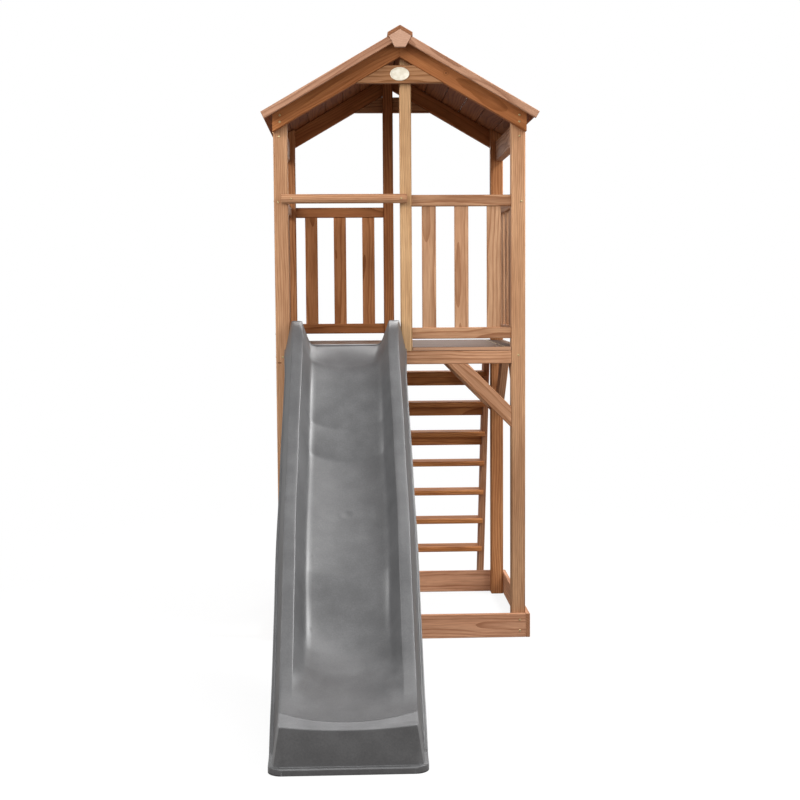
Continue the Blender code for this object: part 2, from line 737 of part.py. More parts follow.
def slide_surfaces():
    """Points of both surfaces, with the cross ribs inside and the front wall at the foot."""
    runs, on_rib = slide_stations()
    xs, heights, skirt, brow = slide_outer(runs)
    low_xs, low_zs = slide_inner(runs, xs, heights, skirt)
    rib_foot = (skirt + SLIDE_RIB_RECESS)[:, None]
    low_zs = np.where(on_rib[:, None], np.minimum(low_zs, rib_foot), low_zs)
    wall_foot = SLIDE_RUN - SLIDE_BEAD_W
    outside = np.clip((wall_foot - runs) / SLIDE_NOSE_SLANT, 0.0, 1.0)[:, None]
    inside = np.clip((wall_foot - SLIDE_WALL - runs) / SLIDE_NOSE_SLANT, 0.0, 1.0)[:, None]
    heights = brow[:, None] + (heights - brow[:, None]) * outside
    low_zs = skirt[:, None] + (low_zs - skirt[:, None]) * inside
    middle = xs.shape[1] // 2
    low_zs[0, middle - BED_COLUMNS:middle + BED_COLUMNS + 1] = DECK_TOP + CLEAR
    return runs, xs, heights, low_xs, low_zs


def strip(work, near, far):
    """Faces between two rows of equally many vertices."""
    for a, b, c, d in zip(near, near[1:], far[1:], far):
        work.faces.new((a, b, c, d))


def grow_lip(work, upper, lower):
    """Grow the end of the bed over the deck, with round corners and a thinned edge."""
    middle = len(upper) // 2
    span = slice(middle - BED_COLUMNS, middle + BED_COLUMNS + 1)
    rows = [(upper[span], lower[span])]
    half = upper[span][-1].co.x - SLIDE_X
    for turn in (0.0, 0.25, 0.5):
        step = math.sin(turn * math.pi)
        y = SLIDE_LIP_RUN - SLIDE_CORNER * (1.0 - step)
        narrow = 1.0 - SLIDE_CORNER * (1.0 - math.cos(turn * math.pi)) / half
        drop = SLIDE_LIP_T / 2 if turn == 0.5 else 0.0
        fresh = []
        for row, lowered in zip(rows[0], (drop, 0.0)):
            fresh.append([work.verts.new((SLIDE_X + (v.co.x - SLIDE_X) * narrow, y,
                                          v.co.z - lowered)) for v in row])
        rows.append(fresh)
    for (near_top, near_low), (far_top, far_low) in zip(rows, rows[1:]):
        strip(work, near_top, far_top)
        strip(work, near_low, far_low)
        strip(work, (near_top[0], far_top[0]), (near_low[0], far_low[0]))
        strip(work, (near_top[-1], far_top[-1]), (near_low[-1], far_low[-1]))
    strip(work, *rows[-1])


def make_slide():
    """Hollow moulded slide: a dished wavy bed between flanges, ribs inside and a deck lip."""
    runs, xs, heights, low_xs, low_zs = slide_surfaces()
    work = bmesh.new()
    tops = []
    lows = []
    for run, x_row, z_row, low_x, low_z in zip(runs, xs, heights, low_xs, low_zs):
        tops.append([work.verts.new((SLIDE_X + x, -run, z)) for x, z in zip(x_row, z_row)])
        lows.append([work.verts.new((SLIDE_X + x, -run, z)) for x, z in zip(low_x, low_z)])
    for rows in (tops, lows):
        for near, far in zip(rows, rows[1:]):
            strip(work, near, far)
    for column in (0, -1):
        strip(work, [row[column] for row in tops], [row[column] for row in lows])
    strip(work, tops[-1], lows[-1])
    middle = len(tops[0]) // 2
    for part in (slice(0, middle - BED_COLUMNS + 1), slice(middle + BED_COLUMNS, None)):
        strip(work, tops[0][part], lows[0][part])
    grow_lip(work, tops[0], lows[0])
    bmesh.ops.recalc_face_normals(work, faces=work.faces)
    mesh = bpy.data.meshes.new("slide")
    work.to_mesh(mesh)
    work.free()
    place("slide", mesh, PLASTIC)


clear_scene()
TIMBER = material("stained_pine", (0.42, 0.20, 0.09), 0.6)
PLASTIC = material("grey_polyethylene", (0.20, 0.20, 0.20), 0.4)
PLATE_PAINT = material("cream_enamel", (0.85, 0.80, 0.62), 0.35)
DATUM = bpy.data.objects.new("tower_datum", None)
bpy.context.scene.collection.objects.link(DATUM)
DATUM.location = (0.0, (SLIDE_RUN - stringer_back(0.0)) / 2, 0.0)
make_posts()
make_base_boards()
make_rim_beams()
make_deck()
make_braces()
make_railings()
make_handrail()
make_side_beams()
make_gable("front", RAFTER_FRONT, -CLEAR)
make_gable("back", TOWER_DEPTH + CLEAR, TOWER_DEPTH + CLEAR + RAFTER_T)
make_roof()
make_plate()
make_ladder()
make_slide()
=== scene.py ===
"""Play tower with a wave slide, dressed and lit for a studio picture.

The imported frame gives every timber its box. Each timber is drawn again with rounded edges and
stained pine that follows its own length. The slide is drawn again as a fine moulded surface
from the same lines as the frame's solid. Metres, +Z up, the slide's foot towards -Y.
"""

from __future__ import annotations

import logging
import math
import zlib
from dataclasses import dataclass, replace
from enum import Enum
from typing import Any

import bpy
import numpy as np
from mathutils import Matrix, Vector

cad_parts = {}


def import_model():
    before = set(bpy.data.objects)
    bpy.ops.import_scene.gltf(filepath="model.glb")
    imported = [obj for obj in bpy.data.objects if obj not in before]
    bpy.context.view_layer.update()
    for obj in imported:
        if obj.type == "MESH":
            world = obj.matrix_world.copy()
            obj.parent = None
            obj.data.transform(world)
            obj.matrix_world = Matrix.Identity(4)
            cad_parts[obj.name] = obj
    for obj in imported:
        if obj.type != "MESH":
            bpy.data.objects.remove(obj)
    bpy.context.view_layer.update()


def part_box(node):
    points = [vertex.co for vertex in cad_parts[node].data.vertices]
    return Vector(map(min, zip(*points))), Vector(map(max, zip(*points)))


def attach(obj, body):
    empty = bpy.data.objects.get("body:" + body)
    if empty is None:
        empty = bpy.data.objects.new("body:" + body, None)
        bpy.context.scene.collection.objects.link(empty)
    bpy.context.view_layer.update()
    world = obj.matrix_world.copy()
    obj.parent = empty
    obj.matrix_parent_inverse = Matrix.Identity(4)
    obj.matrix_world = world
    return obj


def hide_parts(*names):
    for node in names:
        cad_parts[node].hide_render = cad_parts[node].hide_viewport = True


LOG = logging.getLogger("play_tower")
MM = 0.001
# Gap that touching solids of the frame keep
CLEAR = 0.3 * MM
ROOF_PITCH = math.radians(30.0)
DECK_BOARDS = 7
# Flats along the quarter circle of a rounded edge
ARC_STEPS = 3
# Radians that the ring texture turns by in a metre, at a scale of one
WAVE_RATE = 20.0

Colour = tuple[float, float, float, float]
Place = tuple[float, float, float]
# Control points of a curve, each a place and the value there
Course = tuple[tuple[float, float], ...]


class Axis(Enum):
    """Directions that a square-laid timber can run in."""

    X = 0
    Y = 1
    Z = 2

    @property
    def unit(self) -> np.ndarray:
        """Unit vector of the direction."""
        return np.eye(3)[self.value]


class Slot(Enum):
    """Material slots, by name."""

    PINE = "stained_pine"
    PLASTIC = "grey_polyethylene"
    ENAMEL = "cream_enamel"


def linear(code: str, light: float = 1.0) -> Colour:
    """Turn an sRGB hex value to a linear colour.

    Args:
        code: Six hex digits after a hash sign.
        light: Factor on the linear values, for timbers a little paler or darker.

    Returns:
        Linear red, green, blue and an alpha of one.
    """
    values = [int(code[place:place + 2], 16) / 255 for place in (1, 3, 5)]
    red, green, blue = (light * (v / 12.92 if v <= 0.04045 else ((v + 0.055) / 1.055) ** 2.4)
                        for v in values)
    return red, green, blue, 1.0


def add_node(tree: bpy.types.NodeTree, kind: str, inputs: dict[Any, Any] | None = None,
             **settings: Any) -> bpy.types.Node:
    """Add a node with its settings and links.

    Args:
        tree: Node tree that gets the node.
        kind: Blender's name of the node type.
        inputs: Input name or number to a value, or to the socket that feeds it.
        **settings: Properties of the node; ramp takes pairs of place and colour.

    Returns:
        The new node.
    """
    node = tree.nodes.new(kind)
    for key, value in settings.items():
        if key == "ramp":
            stops = node.color_ramp.elements
            while len(stops) < len(value):
                stops.new(0.5)
            for stop, (place, colour) in zip(stops, value):
                stop.position = place
                stop.color = colour
        else:
            setattr(node, key, value)
    for key, value in (inputs or {}).items():
        if isinstance(value, bpy.types.NodeSocket):
            tree.links.new(value, node.inputs[key])
        else:
            node.inputs[key].default_value = value
    return node


def blank_material(name: str) -> bpy.types.Material:
    """Make a material that has nodes.

    Args:
        name: Name of the material.

    Returns:
        The material, still plain.
    """
    made = bpy.data.materials.new(name)
    made.use_nodes = True
    return made


def box_of(node: str) -> tuple[np.ndarray, np.ndarray]:
    """Lowest and highest corner of a solid of the frame."""
    low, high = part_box(node)
    return np.array(low), np.array(high)


def round_turns(count: int) -> np.ndarray:
    """Angles of evenly spaced points round a circle."""
    return np.linspace(0.0, 2 * math.pi, count + 1)[:-1]


def put_piece(name: str, points: np.ndarray, faces: list[list[int]], smooth: np.ndarray,
              finish: bpy.types.Material, slot: Slot, *nodes: str) -> bpy.types.Object:
    """Make a mesh a piece of the object, riding on the frame's one body.

    Args:
        name: Name of the piece.
        points: Corners, one row each.
        faces: Corner numbers of each face, turning left seen from outside.
        smooth: Whether each face is shaded smooth.
        finish: Material of the piece.
        slot: Slot that the finish comes from; not used.
        *nodes: Solids of the frame that the piece stands for.

    Returns:
        The new object.
    """
    mesh = bpy.data.meshes.new(name)
    mesh.from_pydata(points.tolist(), [], faces)
    mesh.polygons.foreach_set("use_smooth", smooth)
    mesh.update()
    mesh.materials.append(finish)
    piece = bpy.data.objects.new(name, mesh)
    bpy.context.scene.collection.objects.link(piece)
    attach(piece, "root")
    if nodes:
        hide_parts(*nodes)
    LOG.info("%s: %d faces", name, len(faces))
    return piece


def band_faces(rows: int, columns: int, closed: bool) -> np.ndarray:
    """Number the faces of a grid of points.

    Each face joins a point, the next one of its row, and the two above them in the next row.

    Args:
        rows: Number of rows.
        columns: Number of points in a row.
        closed: Whether the last point of a row joins its first.

    Returns:
        Corner numbers, four for each face, row after row.
    """
    index = np.arange(rows * columns).reshape(rows, columns)
    ahead = np.roll(index, -1, axis=1)
    if not closed:
        index, ahead = index[:, :-1], ahead[:, :-1]
    square = np.stack((index[:-1], ahead[:-1], ahead[1:], index[1:]), axis=2)
    return square.reshape(-1, 4)


def rounded_section(width: float, thickness: float, radius: float, inset: float = 0.0
                    ) -> np.ndarray:
    """Draw a rectangle whose corners are quarter circles.

    The middles of the circles keep their places when the section is inset, so that a row of
    inset sections rounds off the end of a bar.

    Args:
        width: Full width.
        thickness: Full thickness.
        radius: Radius of the corners.
        inset: How much smaller the circles are drawn.

    Returns:
        Places across and through, turning left.
    """
    turns = (np.arange(4)[:, None] + np.linspace(0.0, 1.0, ARC_STEPS + 1)) * math.pi / 2
    signs = np.array([[1, 1], [-1, 1], [-1, -1], [1, -1]])
    centres = signs * (np.array([width, thickness]) / 2 - radius)
    arcs = np.stack((np.cos(turns), np.sin(turns)), axis=2) * (radius - inset)
    return (centres[:, None, :] + arcs).reshape(-1, 2)


def bar_faces(rings: int, count: int) -> list[list[int]]:
    """Number the faces of a bar that is a row of closed rings.

    Args:
        rings: Number of rings.
        count: Number of points in a ring.

    Returns:
        Corner numbers of the faces, ring after ring, with the two end faces last.
    """
    sides = band_faces(rings, count, closed=True).tolist()
    foot = list(range(count))[::-1]
    head = list(range((rings - 1) * count, rings * count))
    return [*sides, foot, head]


@dataclass(frozen=True)
class Grain:
    """How a timber lies: its middle and the directions of its length and width."""

    middle: np.ndarray
    along: np.ndarray
    across: np.ndarray

    @property
    def through(self) -> np.ndarray:
        """Direction of the thickness, square to the other two."""
        return np.cross(self.along, self.across)

    @property
    def turn(self) -> Matrix:
        """Rotation that lays the length on X, the width on Y and the thickness on Z."""
        return Matrix([self.along, self.across, self.through])


@dataclass(frozen=True)
class Veil:
    """Darker cloudy streaks over the stain, drawn out along the timber.

    Its noise has grains of a length and width, and outlines that are finer with more detail. The
    tint is full where the noise is below the lower stop, and gone above the upper one.
    """

    length: float
    width: float
    detail: float
    tint: str
    amount: float
    stops: tuple[float, float] = (0.36, 0.62)

    def pattern(self, tree: bpy.types.NodeTree, log: bpy.types.NodeSocket
                ) -> bpy.types.NodeSocket:
        """Noise whose grains have the veil's length and width.

        Args:
            tree: Node tree of the material.
            log: Coordinates along, across and through the log.

        Returns:
            The noise, from nought to one.
        """
        drawn = add_node(tree, "ShaderNodeVectorMath", {
            0: log, 1: (1 / self.length, 1 / self.width, 1 / self.width)},
            operation="MULTIPLY").outputs[0]
        return add_node(tree, "ShaderNodeTexNoise", {
            "Vector": drawn, "Scale": 1.0, "Detail": self.detail}).outputs["Fac"]

    def laid_over(self, tree: bpy.types.NodeTree, colour: bpy.types.NodeSocket,
                  pattern: bpy.types.NodeSocket) -> bpy.types.NodeSocket:
        """Darken a colour where the noise is low.

        Args:
            tree: Node tree of the material.
            colour: Colour without the veil.
            pattern: Noise of the veil.

        Returns:
            The colour under the veil.
        """
        full, clear = self.stops
        shade = add_node(tree, "ShaderNodeValToRGB", {"Fac": pattern}, ramp=(
            (full, linear(self.tint)), (clear, linear("#FFFFFF")))).outputs[0]
        return add_node(tree, "ShaderNodeMix", {0: self.amount, 6: colour, 7: shade},
                        data_type="RGBA", blend_type="MULTIPLY").outputs[2]


# Real fibres are finer than a tenth of a millimetre; these are as coarse as they need to show.
FIBRES = Veil(60 * MM, 2.5 * MM, 2.0, "#B5A496", 0.30)
# Streaks of softer wood that took up more stain
STREAKS = Veil(160 * MM, 9 * MM, 3.0, "#B49A86", 0.26)
# Broad clouds where the brush left more stain
CLOUDS = Veil(420 * MM, 60 * MM, 1.0, "#BF9F88", 0.30)


@dataclass(frozen=True)
class StainedPine:
    """Planed pine under a brown stain: growth rings, fibres, a few knots and a satin dull skin.

    Early wood soaks up the stain evenly and late wood stays as a darker, harder line, so the
    eye sees long streaks, arches where a ring is cut flat, and dark knots. Sawn ends take up more
    stain. An edge colour is painted light on the faces that look along a board's width, whose
    broad faces are darker with painted shade. Timbers of one kind differ in lightness by the spread.
    """

    title: str
    early: str
    late: str
    knot: str = "#5A331E"
    end: str = "#8A5A3C"
    # Paler colour of painted light on the faces that look along the width
    edge: str = ""
    tint_share: float = 0.6
    spread: float = 0.07
    # Growth rings, and the waves of the slow noise that bends them
    ring_pitch: float = 8 * MM
    ring_stops: tuple[float, float] = (0.55, 0.9)
    ring_bend: float = 34 * MM
    bend_length: float = 416.67 * MM
    bend_width: float = 111.11 * MM
    # Knots, one at most in each cell of the log
    knot_cell: float = 110 * MM
    knot_size: float = 7 * MM
    knot_core: float = 0.55
    knot_reach: float = 3.4
    knot_push: float = 9.0
    knot_draw: float = 0.4
    knot_chances: tuple[float, float] = (0.55, 0.95)
    # Skin
    relief: float = 0.4 * MM
    ring_relief: float = 0.35
    roughness: float = 0.68
    gloss: float = 0.10

    def material(self, name: str, grain: Grain) -> bpy.types.Material:
        """Make the material of one timber, with its own part of the log.

        The rings are circles about a pith line that runs along the timber beside it. Slow
        noise bends them, and each knot pushes them aside.

        Args:
            name: Name of the timber, which also seeds its differences.
            grain: How the timber lies.

        Returns:
            The material.
        """
        chance = np.random.default_rng(zlib.crc32(name.encode()))
        light = float(1.0 + self.spread * chance.uniform(-1.0, 1.0))
        # Anywhere along the log, up to 30 mm to a side and 22 to 60 mm away from the pith
        pith = chance.uniform((-9.0, -30 * MM, 22 * MM), (9.0, 30 * MM, 60 * MM))
        made = blank_material(f"{self.title}_{name}")
        tree = made.node_tree
        log = add_node(tree, "ShaderNodeMapping", {
            "Vector": add_node(tree, "ShaderNodeTexCoord").outputs["Object"],
            "Location": Vector(pith) - grain.turn @ Vector(grain.middle),
            "Rotation": grain.turn.to_euler()}).outputs[0]
        knot, swirl = self.knots(tree, log)
        rings = self.rings(tree, log, swirl)
        fibres = FIBRES.pattern(tree, log)
        colour = self.stain(tree, rings, light)
        colour = STREAKS.laid_over(tree, colour, STREAKS.pattern(tree, log))
        colour = FIBRES.laid_over(tree, colour, fibres)
        colour = CLOUDS.laid_over(tree, colour, CLOUDS.pattern(tree, log))
        colour = add_node(tree, "ShaderNodeMix", {0: knot, 6: colour, 7: linear(self.knot)},
                          data_type="RGBA").outputs[2]
        colour = self.tinted(tree, colour, linear(self.end, light), grain.along)
        # Painted light: the faces that look along the width take the paler edge colour
        if self.edge:
            colour = self.tinted(tree, colour, linear(self.edge, light), grain.across)
        tree.links.new(colour, tree.nodes["Principled BSDF"].inputs["Base Color"])
        self.skin(tree, rings, fibres)
        return made

    def stain(self, tree: bpy.types.NodeTree, rings: bpy.types.NodeSocket, light: float
              ) -> bpy.types.NodeSocket:
        """Colour of early wood that darkens slowly and ends in the line of late wood.

        The first stop is where early wood is at its darkest, and from the second on it is late.

        Args:
            tree: Node tree of the material.
            rings: Place between one ring and the next, from nought to one.
            light: Factor on the timber's colours.

        Returns:
            The colour.
        """
        darker = 0.93
        late = linear(self.late, light)
        return add_node(tree, "ShaderNodeValToRGB", {"Fac": rings}, ramp=(
            (0.0, linear(self.early, light)),
            (self.ring_stops[0], linear(self.early, light * darker)),
            (self.ring_stops[1], late), (1.0, late))).outputs[0]

    def skin(self, tree: bpy.types.NodeTree, rings: bpy.types.NodeSocket,
             fibres: bpy.types.NodeSocket) -> None:
        """Roughness that varies with the fibres, and low relief of rings and fibres.

        Args:
            tree: Node tree of the material.
            rings: Place between one ring and the next.
            fibres: Noise of the fibres.
        """
        shader = tree.nodes["Principled BSDF"]
        shader.inputs["Specular IOR Level"].default_value = self.gloss
        dull = add_node(tree, "ShaderNodeMapRange", {
            "Value": fibres, "To Min": self.roughness - 0.1, "To Max": self.roughness + 0.12})
        tree.links.new(dull.outputs[0], shader.inputs["Roughness"])
        height = add_node(tree, "ShaderNodeMath", {0: rings, 1: self.ring_relief, 2: fibres},
                          operation="MULTIPLY_ADD").outputs[0]
        bump = add_node(tree, "ShaderNodeBump", {
            "Height": height, "Strength": 0.35, "Distance": self.relief})
        tree.links.new(bump.outputs[0], shader.inputs["Normal"])

    def tinted(self, tree: bpy.types.NodeTree, colour: bpy.types.NodeSocket, tint: Colour,
               way: np.ndarray) -> bpy.types.NodeSocket:
        """Mix a tint into the faces of a timber that look one way or straight back.

        Args:
            tree: Node tree of the material.
            colour: Colour of the other faces.
            tint: Colour of the tinted faces.
            way: Direction that the tinted faces look in.

        Returns:
            The mixed colour.
        """
        normal = add_node(tree, "ShaderNodeTexCoord").outputs["Normal"]
        facing = add_node(tree, "ShaderNodeVectorMath", {0: normal, 1: Vector(way)},
                          operation="DOT_PRODUCT").outputs["Value"]
        turned = add_node(tree, "ShaderNodeMath", {0: facing}, operation="ABSOLUTE").outputs[0]
        share = add_node(tree, "ShaderNodeMapRange", {
            "Value": turned, "From Min": 0.75, "From Max": 0.95,
            "To Max": self.tint_share}).outputs[0]
        return add_node(tree, "ShaderNodeMix", {0: share, 6: colour, 7: tint},
                        data_type="RGBA").outputs[2]

    def knots(self, tree: bpy.types.NodeTree, log: bpy.types.NodeSocket
              ) -> tuple[bpy.types.NodeSocket, bpy.types.NodeSocket]:
        """Scatter branches through the log.

        Each cell of the log has a chance number. Up to the lower of the two chances it holds no
        knot, and from there to the upper one the knot grows. The cells are drawn out through the
        timber, as branches are. A knot is darkest in its core, and the rings round it are pushed
        aside as far as its reach; both are given in sizes of the knot.

        Args:
            tree: Node tree of the material.
            log: Coordinates along, across and through the log.

        Returns:
            The dark of the knots, and how far the rings round them are pushed aside.
        """
        lying = add_node(tree, "ShaderNodeVectorMath", {
            0: log, 1: (1.0, 1.0, self.knot_draw)}, operation="MULTIPLY").outputs[0]
        cells = add_node(tree, "ShaderNodeTexVoronoi", {
            "Vector": lying, "Scale": 1.0 / self.knot_cell})
        away = cells.outputs["Distance"]
        size = add_node(tree, "ShaderNodeMapRange", {
            "Value": cells.outputs["Color"], "From Min": self.knot_chances[0],
            "From Max": self.knot_chances[1], "To Min": 0.0,
            "To Max": self.knot_size / self.knot_cell}).outputs[0]
        core = add_node(tree, "ShaderNodeMath", {0: size, 1: self.knot_core},
                        operation="MULTIPLY")
        # The small addend keeps the range open where there is no knot
        reach = add_node(tree, "ShaderNodeMath", {0: size, 1: self.knot_reach, 2: 0.001},
                         operation="MULTIPLY_ADD")
        dark = add_node(tree, "ShaderNodeMapRange", {
            "Value": away, "From Min": core.outputs[0], "From Max": size,
            "To Min": 0.75, "To Max": 0.0}).outputs[0]
        swirl = add_node(tree, "ShaderNodeMapRange", {
            "Value": away, "From Min": 0.0, "From Max": reach.outputs[0],
            "To Min": 1.0, "To Max": 0.0}, interpolation_type="SMOOTHSTEP").outputs[0]
        return dark, swirl

    def rings(self, tree: bpy.types.NodeTree, log: bpy.types.NodeSocket,
              swirl: bpy.types.NodeSocket) -> bpy.types.NodeSocket:
        """Growth rings: distance from the pith, bent by slow noise and pushed by the knots.

        The scale of the texture is the full turn of one ring over the texture's own rate times
        the pitch. The waves of the slow noise are drawn out along the log.

        Args:
            tree: Node tree of the material.
            log: Coordinates along, across and through the log.
            swirl: How far the knots push the rings aside.

        Returns:
            Place between one ring and the next, from nought to one.
        """
        slow = add_node(tree, "ShaderNodeVectorMath", {
            0: log, 1: (1 / self.bend_length, 1 / self.bend_width, 1 / self.bend_width)},
            operation="MULTIPLY").outputs[0]
        drift = add_node(tree, "ShaderNodeTexNoise", {
            "Vector": slow, "Scale": 1.0, "Detail": 1.5}).outputs["Color"]
        bent = add_node(tree, "ShaderNodeVectorMath", {0: drift, 1: (self.ring_bend,) * 3, 2: log},
                        operation="MULTIPLY_ADD").outputs[0]
        phase = add_node(tree, "ShaderNodeMath", {0: swirl, 1: self.knot_push},
                         operation="MULTIPLY")
        return add_node(tree, "ShaderNodeTexWave", {
            "Vector": bent, "Scale": 2 * math.pi / (WAVE_RATE * self.ring_pitch),
            "Distortion": 0.5, "Detail": 2.0, "Detail Scale": 0.6,
            "Phase Offset": phase.outputs[0]},
            wave_type="RINGS", rings_direction="X", wave_profile="SAW").outputs["Fac"]


@dataclass(frozen=True)
class MouldedPolyethylene:
    """Rotomoulded grey polyethylene: powder melted in a turning mould.

    The skin cools against the mould, so it is satin and very slightly uneven, with faint specks
    of powder and clouds where the wall is thicker. Real specks are finer than a millimetre;
    these are as coarse as they need to show.
    """

    title: str = "rotomoulded_grey_polyethylene"
    body: str = "#535354"
    dark: str = "#4C4C4D"
    pale: str = "#5B5B5C"
    speck: float = 5 * MM
    roughness: float = 0.40
    bump: float = 0.15 * MM
    cloud: float = 71.43 * MM
    gloss: float = 0.7

    def material(self) -> bpy.types.Material:
        """Make the material: faint specks and clouds that shift both colour and gloss.

        Returns:
            The material.
        """
        made = blank_material(self.title)
        tree = made.node_tree
        shader = tree.nodes["Principled BSDF"]
        here = add_node(tree, "ShaderNodeTexCoord").outputs["Object"]
        specks = add_node(tree, "ShaderNodeTexNoise", {
            "Vector": here, "Scale": 1.0 / self.speck, "Detail": 3.0}).outputs["Fac"]
        clouds = add_node(tree, "ShaderNodeTexNoise", {
            "Vector": here, "Scale": 1.0 / self.cloud, "Detail": 4.0}).outputs["Fac"]
        mixed = add_node(tree, "ShaderNodeMix", {0: 0.45, 2: clouds, 3: specks}).outputs[0]
        colour = add_node(tree, "ShaderNodeValToRGB", {"Fac": mixed}, ramp=(
            (0.36, linear(self.dark)), (0.5, linear(self.body)),
            (0.64, linear(self.pale)))).outputs[0]
        tree.links.new(colour, shader.inputs["Base Color"])
        shader.inputs["Specular IOR Level"].default_value = self.gloss
        dull = add_node(tree, "ShaderNodeMapRange", {
            "Value": mixed, "To Min": self.roughness - 0.07, "To Max": self.roughness + 0.07})
        tree.links.new(dull.outputs[0], shader.inputs["Roughness"])
        bump = add_node(tree, "ShaderNodeBump", {
            "Height": specks, "Strength": 0.2, "Distance": self.bump})
        tree.links.new(bump.outputs[0], shader.inputs["Normal"])
        return made


@dataclass(frozen=True)
class CreamEnamel:
    """Baked cream enamel on a small metal plate: it flows out smooth, so it is glossy and even."""

    title: str = "baked_cream_enamel"
    face: str = "#EFE8D6"
    worn: str = "#E2D9C2"
    cloud: float = 14.286 * MM

    def material(self) -> bpy.types.Material:
        """Make the material, with a faint cloud of wear.

        Returns:
            The material.
        """
        made = blank_material(self.title)
        tree = made.node_tree
        shader = tree.nodes["Principled BSDF"]
        here = add_node(tree, "ShaderNodeTexCoord").outputs["Object"]
        cloud = add_node(tree, "ShaderNodeTexNoise", {
            "Vector": here, "Scale": 1.0 / self.cloud, "Detail": 3.0}).outputs["Fac"]
        colour = add_node(tree, "ShaderNodeValToRGB", {"Fac": cloud}, ramp=(
            (0.4, linear(self.worn)), (0.6, linear(self.face)))).outputs[0]
        tree.links.new(colour, shader.inputs["Base Color"])
        dull = add_node(tree, "ShaderNodeMapRange", {
            "Value": cloud, "To Min": 0.25, "To Max": 0.4})
        tree.links.new(dull.outputs[0], shader.inputs["Roughness"])
        return made


@dataclass(frozen=True)
class YellowZinc:
    """Yellow zinc plated on steel screws: it looks like pale brass, dulled in patches."""

    title: str = "yellow_zinc_plate"
    bright: str = "#D8C79A"
    dull: str = "#A8946A"
    patch: float = 3.8462 * MM

    def material(self) -> bpy.types.Material:
        """Make the material, with patches of tarnish.

        Returns:
            The material.
        """
        made = blank_material(self.title)
        tree = made.node_tree
        shader = tree.nodes["Principled BSDF"]
        shader.inputs["Metallic"].default_value = 1.0
        here = add_node(tree, "ShaderNodeTexCoord").outputs["Object"]
        cloud = add_node(tree, "ShaderNodeTexNoise", {
            "Vector": here, "Scale": 1.0 / self.patch, "Detail": 2.0}).outputs["Fac"]
        colour = add_node(tree, "ShaderNodeValToRGB", {"Fac": cloud}, ramp=(
            (0.35, linear(self.dull)), (0.6, linear(self.bright)))).outputs[0]
        tree.links.new(colour, shader.inputs["Base Color"])
        rough = add_node(tree, "ShaderNodeMapRange", {
            "Value": cloud, "To Min": 0.45, "To Max": 0.3})
        tree.links.new(rough.outputs[0], shader.inputs["Roughness"])
        return made


@dataclass(frozen=True)
class Cut:
    """Flat saw cut through a point, square to a direction."""

    point: np.ndarray
    normal: np.ndarray


@dataclass(frozen=True)
class Timber:
    """Planed timber: a rounded rectangle carried along its length between two saw cuts.

    The long edges are rounded, and the edges of the saw cuts are eased.
    """

    name: str
    grain: Grain
    width: float
    thickness: float
    start: Cut
    end: Cut
    rounding: float = 4 * MM
    ease: float = 1.2 * MM

    @classmethod
    def in_box(cls, name: str, low: np.ndarray, high: np.ndarray, axis: Axis,
               rounding: float = 4 * MM) -> Timber:
        """Lay a square-cut timber in a box.

        Args:
            name: Name of the timber.
            low: Lowest corner of the box.
            high: Highest corner of the box.
            axis: Direction of the timber's length.
            rounding: Radius of its long edges.

        Returns:
            The timber, whose width is the longer side of its section.
        """
        size = high - low
        thin, wide = sorted((a for a in Axis if a is not axis), key=lambda a: size[a.value])
        grain = Grain((low + high) / 2, axis.unit, wide.unit)
        return cls(name, grain, size[wide.value], size[thin.value], Cut(low, axis.unit),
                   Cut(high, axis.unit), rounding)

    @classmethod
    def of_node(cls, node: str, axis: Axis, rounding: float = 4 * MM) -> Timber:
        """Lay a square-cut timber in the box of a solid of the frame."""
        low, high = box_of(node)
        return cls.in_box(node, low, high, axis, rounding)

    @property
    def radius(self) -> float:
        """Radius of the long edges, which a thin board limits."""
        return min(self.rounding, 0.49 * self.thickness)

    def ring(self, cut: Cut, inset: float, inward: float) -> np.ndarray:
        """Section laid on a saw cut.

        A point of the section moves along the timber until it lies in the cut's plane.

        Args:
            cut: The saw cut.
            inset: How much smaller the section is.
            inward: Distance from the cut along the timber.

        Returns:
            Points in space.
        """
        section = rounded_section(self.width, self.thickness, self.radius, inset)
        grain = self.grain
        spots = (grain.middle + section[:, :1] * grain.across + section[:, 1:] * grain.through)
        travel = (cut.point - spots) @ cut.normal / (grain.along @ cut.normal) + inward
        return spots + travel[:, None] * grain.along

    def build(self, pine: StainedPine, *nodes: str) -> bpy.types.Object:
        """Make the timber a piece of the object.

        Args:
            pine: Finish of the timber.
            *nodes: Solids that it stands for; if none is named, the one with its own name.

        Returns:
            The new object.
        """
        ease = min(self.ease, 0.8 * self.radius)
        rings = np.stack((self.ring(self.start, ease, 0.0), self.ring(self.start, 0.0, ease),
                          self.ring(self.end, 0.0, -ease), self.ring(self.end, ease, 0.0)))
        count = rings.shape[1]
        is_round = np.arange(count) % (ARC_STEPS + 1) != ARC_STEPS
        smooth = np.append(np.tile(is_round, len(rings) - 1), [False, False])
        finish = pine.material(self.name, self.grain)
        return put_piece(self.name, rings.reshape(-1, 3), bar_faces(len(rings), count), smooth,
                         finish, Slot.PINE, *(nodes or (self.name,)))


def dress_solid(node: str, pine: StainedPine, along: np.ndarray, across: np.ndarray) -> None:
    """Give a solid of the frame that keeps its shape its pine finish.

    Args:
        node: Name of the solid.
        pine: Its finish.
        along: Direction of its length.
        across: Direction of its width.
    """
    low, high = box_of(node)
    grain = Grain((low + high) / 2, along, across)
    solid = bpy.data.objects[node]
    solid.data.materials.clear()
    solid.data.materials.append(pine.material(node, grain))
    LOG.info("%s: solid kept", node)
